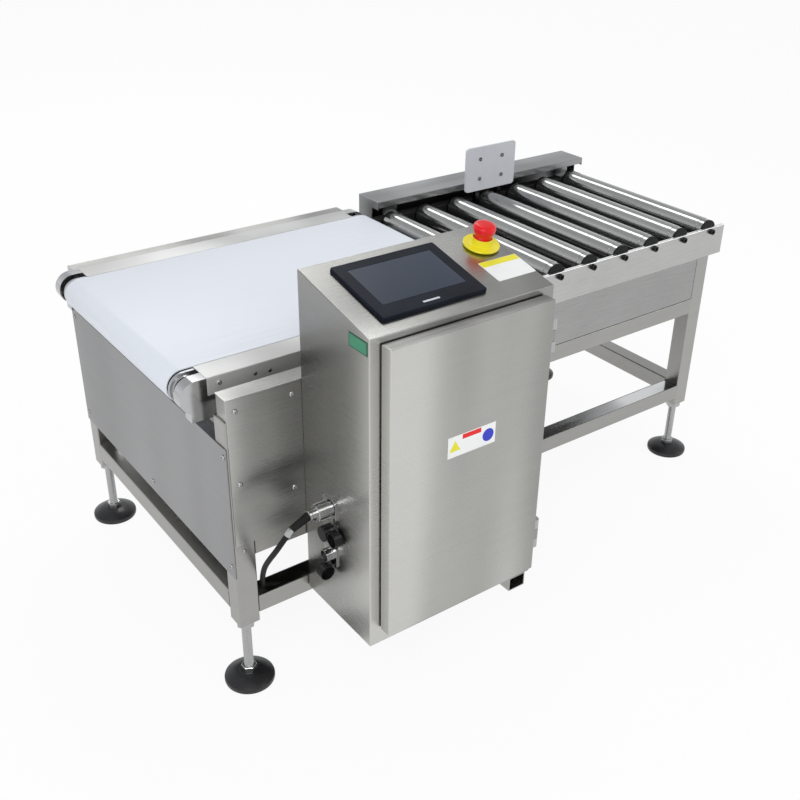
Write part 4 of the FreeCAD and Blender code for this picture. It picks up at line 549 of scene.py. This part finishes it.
def dress(node, material, edge=0.5, steps=2, degrees=35):
    piece = bpy.data.objects.new(node + "_dressed", nodes[node].data.copy())
    bpy.context.scene.collection.objects.link(piece)
    only(piece)
    bpy.ops.object.mode_set(mode="EDIT")
    bpy.ops.mesh.select_all(action="SELECT")
    bpy.ops.mesh.customdata_custom_splitnormals_clear()
    bpy.ops.mesh.remove_doubles(threshold=1e-6)
    bpy.ops.mesh.dissolve_limited(angle_limit=math.radians(0.5))
    bpy.ops.object.mode_set(mode="OBJECT")
    if edge:
        modify(piece, "BEVEL", width=mm(edge), segments=steps, limit_method="ANGLE",
               angle_limit=math.radians(40))
    smooth(piece, degrees, True)
    return finish(piece, material, body_of(node), SLOTS[node], [node])


DRESSED = {
    "weigh_legs": ("leg", 0.3), "table_legs": ("leg", 0.3), "weigh_rails": ("tube", 0.3),
    "table_rails": ("tube", 0.3), "cable_trays": ("tube", 0.5), "weigh_covers": ("sheet", 1.0),
    "weigh_end_panels": ("panel", 0.6), "belt_side_covers": ("side", 0.8),
    "belt_side_plates": ("alloy", 0.4), "drum_bearings": ("turned", 0.5),
    "slider_bed": ("alloy", 0.3), "roller_rails": ("front_rail", 1.0),
    "skirt_panels": ("skirt", 0.5), "guide_cover": ("guide", 1.0), "cabinet_body": ("cabinet", 1.0),
    "cabinet_door": ("cabinet", 0.6), "cabinet_hinges": ("turned", 0.4), "load_cell": ("alloy", 0.3),
    "weigh_platform": ("alloy", 0.6), "jam_nuts": ("turned", 0.8), "roller_axles": ("black", 0.4),
    "pusher_cylinder": ("alloy", 0.5), "pusher_carriage": ("black", 0.5),
    "mounting_plate": ("zinc", 0.4), "tail_drum": ("turned", 0.5), "drive_drum": ("turned", 0.2),
    "motor_pulley": ("turned", 0.1), "nose_caps": ("cap", 0.4),
}
for node, (steel, edge) in DRESSED.items():
    dress(node, STEEL[steel], edge)
MOULDED = {
    "drive_motor": ("motor", 0.8), "timing_belt": ("rubber", 0.2), "door_gasket": ("rubber", 0.6),
    "operator_panel": ("bezel", 0.6), "estop_contacts": ("gear", 0.5), "estop_stem": ("black", 0.3),
    "pusher_plate": ("plate", 0.6), "power_supply": ("gear", 0.8), "motor_drive": ("gear", 1.0),
    "controller": ("grey", 0.6),
}
for node, (plastic, edge) in MOULDED.items():
    dress(node, PLASTIC[plastic], edge)
for number in range(1, 8):
    dress(f"roller_{number}", ROLLER, 0.5, 3)
print(len(DRESSED) + len(MOULDED) + 7, "nodes dressed")

# %% [markdown]
# ## The belt
# An endless belt is a racetrack: a short drum whose right half is pulled along to the other drum. Its open
# ends are removed and a wall is given inwards.

# %% Belt loop
LEFT_DRUM, RIGHT_DRUM, DRUM_Z, BELT_FRONT, BELT_REAR = -16.0, 648.0, 597.0, 113.0, 573.0
bpy.ops.object.select_all(action="DESELECT")
bpy.ops.mesh.primitive_cylinder_add(vertices=96, radius=mm(30), depth=mm(BELT_REAR - BELT_FRONT),
                                    end_fill_type="NOTHING", rotation=(math.radians(90), 0, 0),
                                    location=at(LEFT_DRUM, (BELT_FRONT + BELT_REAR) / 2, DRUM_Z))
belt = bpy.context.object
belt.name = "belt_loop"
bpy.ops.object.transform_apply(location=True, rotation=True)
left_x = at(LEFT_DRUM, 0, 0).x
bpy.ops.object.mode_set(mode="EDIT")
bpy.ops.mesh.select_mode(type="VERT")
bpy.ops.mesh.select_all(action="DESELECT")
bpy.ops.object.mode_set(mode="OBJECT")
for vertex in belt.data.vertices:
    vertex.select = vertex.co.x > left_x + mm(0.01)
bpy.ops.object.mode_set(mode="EDIT")
bpy.ops.transform.translate(value=(mm(RIGHT_DRUM - LEFT_DRUM), 0, 0))
bpy.ops.object.mode_set(mode="OBJECT")
modify(belt, "SOLIDIFY", thickness=mm(2.5), offset=-1)
modify(belt, "BEVEL", width=mm(0.5), segments=2, limit_method="ANGLE", angle_limit=math.radians(60))
smooth(belt, 40)
finish(belt, BELT, "machine", "belt", ["conveyor_belt"])
print("belt", [round(v, 4) for v in belt.dimensions])

# %% [markdown]
# ## Levelling feet
# Each foot is a domed pad with a soft rim, a threaded stud and a hexagon collar. The thread is a real ridge
# line: rings that go in and out every 2.5 mm.

# %% One foot
PAD = [(44.0, 0.4), (46.6, 1.6), (47.3, 4.0), (47.4, 8.0), (46.6, 10.6), (43.5, 12.6), (38.5, 15.4),
       (33.0, 18.0), (27.5, 20.1), (22.5, 21.4), (18.5, 21.9), (17.0, 22.6), (14.5, 22.9), (9.2, 22.9)]
THREAD = [(8.2, 12.0), (9.0, 13.0)]
COLLAR_TOP, THREAD_END, PITCH = 34.0, 186.0, 2.5
z = COLLAR_TOP
THREAD.append((9.0, z))
while z < THREAD_END:
    THREAD += [(8.15, z + 0.9), (8.15, z + 1.4), (8.95, z + 2.3), (8.95, z + PITCH)]
    z += PITCH
THREAD += [(7.0, 190.0)]
LEG_MIDDLES = {
    "weigh_foot": [(20, 20), (640, 20), (20, 666), (640, 666)],
    "table_foot": [(749, 127), (1294, 127), (749, 620), (1294, 620)],
}
CORNERS = {}
for frame_foot, places in LEG_MIDDLES.items():
    for corner, place in zip(("front_left", "front_right", "rear_left", "rear_right"), places):
        CORNERS[f"{frame_foot}_{corner}"] = place
pad = turned("pad_pattern", PAD, 72, place=at(0, 0, 0), sharp=30)
stud = turned("stud_pattern", THREAD, 36, place=at(0, 0, 0), sharp=50)
collar = turned("collar_pattern", [(13.6, 22.4), (15.0, 23.4), (15.0, 33.0), (13.6, 34.0)], 6,
                place=at(0, 0, 0), sharp=20)
for foot, (x, y) in CORNERS.items():
    finish(twin(pad, foot + "_pad", (x, y, 0)), PLASTIC["foot"], foot, "foot_black", [foot])
    finish(twin(stud, foot + "_stud", (x, y, 0)), STEEL["turned"], foot, "machined_steel")
    finish(twin(collar, foot + "_collar", (x, y, 0)), STEEL["turned"], foot, "machined_steel")
for pattern in (pad, stud, collar):
    bpy.data.objects.remove(pattern)
print(len(CORNERS), "feet")

# %% [markdown]
# ## Emergency stop
# A red mushroom head stands in the collar of a yellow guard ring. Both are turned about the slope's upright.

# %% Emergency stop
SLOPE = math.atan2(44, 200)
UP_SLOPE = Vector((0, math.cos(SLOPE), math.sin(SLOPE)))
OUT_SLOPE = Vector((0, -math.sin(SLOPE), math.cos(SLOPE)))


def slope(u, v, w=0.0):
    """A place u across, v up the cabinet's sloping top and w out of it."""
    return at(143.5 + u, -202, 762) + (UP_SLOPE * v + OUT_SLOPE * w) / 1000


STOP = slope(324, 144)
RING = [(17.6, 0.0), (30.9, 2.7), (31.5, 3.3), (31.5, 5.4), (30.9, 6.0), (28.0, 6.0), (24.5, 5.7), (19.2, 5.2),
        (17.9, 5.6), (17.5, 6.6), (17.5, 17.5), (17.1, 18.0), (16.8, 18.0), (16.5, 17.6), (16.5, 5.0), (5.1, 5.0)]
ring = turned("guard_ring", RING, 72, OUT_SLOPE, STOP)
finish(ring, PLASTIC["yellow"], "machine", "stop_yellow", ["estop_ring"])
HEAD = [(5.2, 11.0), (14.9, 11.0), (15.5, 11.7), (15.5, 22.8), (15.8, 24.2), (16.6, 25.8), (17.6, 27.6),
        (18.6, 29.8), (19.3, 32.2), (19.5, 34.4), (19.4, 36.6), (18.8, 38.7), (17.4, 40.5), (15.0, 41.8),
        (11.5, 42.6), (6.5, 42.95), (0.4, 43.0)]
head = turned("mushroom_head", HEAD, 72, OUT_SLOPE, STOP)
finish(head, PLASTIC["red"], "stop_head", "stop_red", ["estop_head"])
print("stop head top at", [round(v, 4) for v in STOP + OUT_SLOPE * 0.043])

# %% [markdown]
# ## Display
# The display is let into the bezel almost flush. Blank plates stand where the real machine has its labels.

# %% Display glass
def slope_plate(name, u0, u1, v0, v1, w0, w1, corner, material, slot, edge=0.15):
    """A plate with round corners that lies on the cabinet's slope."""
    bpy.ops.object.select_all(action="DESELECT")
    bpy.ops.mesh.primitive_cube_add(size=1)
    plate = bpy.context.object
    plate.name = name
    plate.scale = (mm(u1 - u0), mm(v1 - v0), mm(w1 - w0))
    bpy.ops.object.transform_apply(scale=True)
    weights = plate.data.attributes.new("bevel_weight_edge", "FLOAT", "EDGE")
    for e in plate.data.edges:
        a, b = (plate.data.vertices[i].co for i in e.vertices)
        weights.data[e.index].value = 1.0 if abs(a.z - b.z) > 1e-6 else 0.0
    modify(plate, "BEVEL", width=mm(corner), segments=5, limit_method="WEIGHT")
    modify(plate, "BEVEL", width=mm(edge), segments=2, limit_method="ANGLE", angle_limit=math.radians(50))
    plate.rotation_euler = (SLOPE, 0, 0)
    plate.location = slope((u0 + u1) / 2, (v0 + v1) / 2, (w0 + w1) / 2)
    only(plate)
    bpy.ops.object.transform_apply(location=True, rotation=True)
    smooth(plate, 35, True)
    return finish(plate, material, "machine", slot)


slope_plate("display_face", 64, 225, 59.5, 159, 6.5, 6.95, 1.0, SCREEN, "panel_navy", 0.08)
slope_plate("blank_name_plate", 126, 158, 38.5, 42.5, 6.9, 7.15, 0.6, PLASTIC["name"], "panel_navy", 0.05)
slope_plate("blank_slope_plate", 283.5, 363, 44.5, 101, 0.0, 0.6, 1.5, PLASTIC["white_plate"], "zinc_plate")
slope_plate("yellow_strip", 284.2, 362.3, 86.5, 100.3, 0.55, 0.75, 1.0, PLASTIC["strip"], "zinc_plate",
            0.05)
print("display done")

# %% [markdown]
# ## Blank plates
# The real machine has labels here. These stay blank: only their place, size and colour are kept. A polished
# strip closes the low rail in front of the table.

# %% Plates on the door and the side
tray_cover = block("table_tray_cover", (769.5, 109.3, 197.6), (1273.5, 144.7, 199.8), 0.4)
finish(tray_cover, STEEL["tray"], "machine", SLOTS["cable_trays"])
door_plate = block("blank_door_plate", (276.0, -229.5, 523.8), (375.0, -229.0, 562.8), 0.2)
finish(door_plate, PLASTIC["white_plate"], "door", "zinc_plate")
red_field = block("plain_red_field", (305.5, -229.7, 552.8), (344.2, -229.4, 561.4), 0.1)
finish(red_field, PLASTIC["red"], "door", "zinc_plate")
blue_field = turned("plain_blue_field", [(11.6, 0.0), (11.8, 0.1), (11.7, 0.25)], 48, FRONT,
                    at(359.5, -229.4, 542.5))
finish(blue_field, PLASTIC["blue"], "door", "zinc_plate")
yellow_field = turned("plain_yellow_field", [(13.2, 0.0), (13.3, 0.1), (13.2, 0.25)], 3, FRONT,
                      at(290.5, -229.4, 541.5))
finish(yellow_field, PLASTIC["strip"], "door", "zinc_plate")
side_plate = block("green_plate_edge", (142.9, -198.0, 733.0), (143.5, -148.5, 756.5), 0.2)
finish(side_plate, PLASTIC["dark_green"], "machine", "zinc_plate")
side_field = block("blank_green_plate", (142.7, -196.0, 735.0), (143.0, -150.5, 754.5), 0.1)
finish(side_field, PLASTIC["green_plate"], "machine", "zinc_plate")
print("plates done")

# %% [markdown]
# ## Screws
# The covers are held by small pan-head screws with a socket. One is modelled, with its socket pushed down, and
# then copied to each hole with its own mesh.

# %% Screw pattern
def screw_pattern(name, radius, height, socket, direction, sides=24):
    piece = turned(name, [(radius * 0.98, 0.0), (radius, height * 0.35), (radius * 0.9, height * 0.75),
                          (radius * 0.66, height), (socket, height)], sides, sharp=40)
    only(piece)
    bpy.ops.object.mode_set(mode="EDIT")
    bpy.ops.mesh.select_all(action="DESELECT")
    bpy.ops.object.mode_set(mode="OBJECT")
    top = max(piece.data.polygons, key=lambda face: (round(face.center.z, 6), len(face.vertices)))
    top.select = True
    bpy.ops.object.mode_set(mode="EDIT")
    bpy.ops.mesh.select_mode(type="FACE")
    bpy.ops.mesh.extrude_region_move(TRANSFORM_OT_translate={"value": (0, 0, -mm(height * 0.6))})
    bpy.ops.object.mode_set(mode="OBJECT")
    settle(piece, direction)
    smooth(piece, 40)
    return piece


def scatter(pattern, places, material, body="machine", slot="machined_steel"):
    for index, place in enumerate(places, 1):
        copy = bpy.data.objects.new(f"{pattern.name}_{index}", pattern.data.copy())
        bpy.context.scene.collection.objects.link(copy)
        copy.data.transform(Matrix.Translation(at(*place)))
        finish(copy, material, body, slot)
    bpy.data.objects.remove(pattern)


cover_places = [(x, -2, z) for x, z in ((19, 589), (124.6, 589), (19, 449), (122.5, 405), (641, 589),
                                        (535.4, 589), (641, 449), (537.5, 405))]
scatter(screw_pattern("front_cover_screw", 5.0, 2.6, 2.0, FRONT), cover_places, STEEL["turned"])
scatter(screw_pattern("rear_cover_screw", 5.0, 2.6, 2.0, REAR),
        [(x, 688, z) for x, y, z in cover_places], STEEL["turned"])
scatter(screw_pattern("leg_screw", 4.0, 2.2, 1.6, FRONT), [(19, 0, 310), (641, 0, 310)], STEEL["turned"])
panel_places = [(675, 504), (675, 275), (340, 277), (10, 504), (12, 278)]
scatter(screw_pattern("left_panel_screw", 4.6, 2.4, 1.8, LEFT), [(-2, y, z) for y, z in panel_places],
        STEEL["turned"])
scatter(screw_pattern("right_panel_screw", 4.6, 2.4, 1.8, RIGHT), [(662, y, z) for y, z in panel_places],
        STEEL["turned"])
scatter(screw_pattern("side_cover_screw", 4.5, 2.4, 1.8, FRONT),
        [(26, 61, 613), (598, 61, 613)], STEEL["turned"])
scatter(screw_pattern("side_cover_set_screw", 3.6, 1.4, 1.9, FRONT),
        [(92.7, 61, 609), (120.4, 61, 607), (531.3, 61, 609), (503.6, 61, 607)], STEEL["dark"])
scatter(screw_pattern("rear_side_cover_screw", 4.5, 2.4, 1.8, REAR), [(26, 625, 613), (598, 625, 613)],
        STEEL["turned"])
scatter(screw_pattern("pusher_plate_screw", 4.6, 3.0, 2.0, FRONT),
        [(1021.5 + side, 561, 680.5 + up) for side in (-34, 34) for up in (-24, 24)], STEEL["black"],
        "pusher")
print("screws done")

# %% [markdown]
# ## Signal plug, sockets and caps
# The plug has a ribbed coupling ring, a smooth backshell and a rubber boot that leads the cable down. The
# sockets have a threaded nose.

# %% Plug
def ribbed(name, radius, length, ribs, depth, direction, place):
    """A ring with grooves along it: every other side face is inset and pushed inwards."""
    piece = turned(name, [(radius - 1.2, 0.0), (radius, 0.8), (radius, length - 0.8), (radius - 1.2, length)],
                   ribs * 2)
    only(piece)
    middle = mm(length / 2)
    walls = [f for f in piece.data.polygons
             if abs(f.center.z - middle) < mm(length) * 0.2 and abs(f.normal.z) < 0.1]
    walls.sort(key=lambda f: math.atan2(f.center.y, f.center.x))
    for face in piece.data.polygons:
        face.select = False
    for edge in piece.data.edges:
        edge.select = False
    for vertex in piece.data.vertices:
        vertex.select = False
    for face in walls[::2]:
        face.select = True
    bpy.ops.object.mode_set(mode="EDIT")
    bpy.ops.mesh.select_mode(type="FACE")
    bpy.ops.mesh.inset(thickness=mm(0.25), depth=-mm(depth), use_individual=True)
    bpy.ops.object.mode_set(mode="OBJECT")
    settle(piece, direction, place)
    smooth(piece, 30)
    return piece


BOOT_START, BOOT_END, FERRULE_END = at(99, -84, 400), at(65, -84, 385.5), at(57.8, -82.6, 376.0)
coupling = ribbed("plug_coupling", 15.5, 24, 22, 0.9, RIGHT, at(113, -84, 400))
finish(coupling, STEEL["turned"], "machine", "machined_steel", ["signal_plug"])
SHELL = [(8.4, -1.0), (10.5, 0.0), (10.5, 3.0), (9.6, 3.4), (9.6, 4.6), (10.5, 5.0), (10.5, 14.5)]
shell = turned("plug_backshell", SHELL, 48, RIGHT, BOOT_START)
finish(shell, STEEL["turned"], "machine", "machined_steel")
reach = (BOOT_END - BOOT_START).length * 1000
steps = [(7.9, -3.0)]
for index in range(9):
    z = reach * index / 9
    r = 8.0 - 1.5 * index / 9
    steps += [(r, z), (r, z + 2.0), (r - 0.8, z + 2.5), (r - 0.8, z + 3.3)]
steps += [(6.5, reach), (6.4, reach + 1.5), (4.5, reach + 2.6)]
boot = turned("plug_boot", steps, 40, BOOT_END - BOOT_START, BOOT_START)
finish(boot, PLASTIC["rubber"], "machine", "cable_black")
tail = (FERRULE_END - BOOT_END).length * 1000
sleeve = [(4.6, -4.0), (6.4, -2.6), (6.9, 0.0), (6.9, tail - 1.4), (6.2, tail - 0.4), (5.1, tail)]
ferrule = turned("plug_ferrule", sleeve, 40, FERRULE_END - BOOT_END, BOOT_END)
finish(ferrule, STEEL["turned"], "machine", "machined_steel")
finish(cable, PLASTIC["cable"], "machine", "cable_black", ["signal_cable"])
2 * CABLE_RADIUS
dress("signal_sockets", STEEL["turned"], 0.4, 2)
dress("dust_caps", PLASTIC["black"], 0.5, 3)
print("plug and sockets done")

# %% [markdown]
# ## Floor, sky and lamps
# The floor is pale, and glows to the eye and in the metal, so that the picture's ground is white and still
# keeps a soft shadow. The sky is bright at the horizon and dimmer above. A long lamp behind draws one line of
# light on each roller, and two soft ones in front shape the sheets.

# %% Studio
bpy.ops.object.select_all(action="DESELECT")
bpy.ops.mesh.primitive_plane_add(size=60, location=(0, 0, -0.0005))
floor = bpy.context.object
floor.name = "floor"
f = Finish("pale floor")
grain = f.noise(f.place(), 3.0, 2.0, 0.5)
f.set(Base_Color=f.blend(grain, (0.93, 0.93, 0.93), (0.95, 0.95, 0.95)), Roughness=0.9)
glow = f.node("ShaderNodeEmission", None, {"Color": (1.0, 1.0, 1.0), "Strength": 1.0})
direct, glossy, through = [f.node("ShaderNodeLightPath", output=name)
                           for name in ("Is Camera Ray", "Is Glossy Ray", "Is Transmission Ray")]
white = direct * 0.82 + glossy * 0.55 + through * 0.55
both = f.node("ShaderNodeMixShader", None,
              {0: f.band(white, 0.0, 1.0), 1: Wire(f, f.shader.outputs[0]), 2: glow})
f.tree.links.new(both.socket, f.tree.nodes["Material Output"].inputs["Surface"])
floor.data.materials.append(f.material)

world = bpy.data.worlds.new("studio")
bpy.context.scene.world = world
world.use_nodes = True
tree = world.node_tree
background = tree.nodes["Background"]
background.inputs["Color"].default_value = (0.97, 0.985, 1.0, 1)
direction = tree.nodes.new("ShaderNodeTexCoord")
parts = tree.nodes.new("ShaderNodeSeparateXYZ")
tree.links.new(direction.outputs["Generated"], parts.inputs[0])
fall = tree.nodes.new("ShaderNodeMapRange")
fall.interpolation_type = "SMOOTHSTEP"
fall.inputs[1].default_value = 0.02
fall.inputs[2].default_value = 0.70
fall.inputs[3].default_value = 1.0
fall.inputs[4].default_value = 0.56
tree.links.new(parts.outputs[2], fall.inputs[0])
path = tree.nodes.new("ShaderNodeLightPath")
strength = tree.nodes.new("ShaderNodeMix")
tree.links.new(path.outputs["Is Camera Ray"], strength.inputs[0])
tree.links.new(fall.outputs[0], strength.inputs[2])
strength.inputs[3].default_value = 1.0
tree.links.new(strength.outputs[0], background.inputs["Strength"])


def lamp(name, place, target, size, watts):
    data = bpy.data.lights.new(name, "AREA")
    data.shape = "RECTANGLE"
    data.size, data.size_y = size
    data.energy = watts
    light = bpy.data.objects.new(name, data)
    bpy.context.scene.collection.objects.link(light)
    light.location = place
    light.rotation_mode = "QUATERNION"
    light.rotation_quaternion = (Vector(target) - Vector(place)).to_track_quat("-Z", "Y")
    print(name, watts, "W")


lamp("strip over the rollers", (0.62, 2.6, 3.0), (0.62, 2.601, 0), (0.75, 3.6), 34)
lamp("key softbox", (-2.2, -2.2, 3.0), (0, 0, 0.4), (1.8, 1.4), 48)
lamp("fill softbox", (2.8, -2.0, 2.4), (0, 0, 0.4), (1.4, 1.4), 14)
bpy.context.scene.view_settings.view_transform = "Standard"
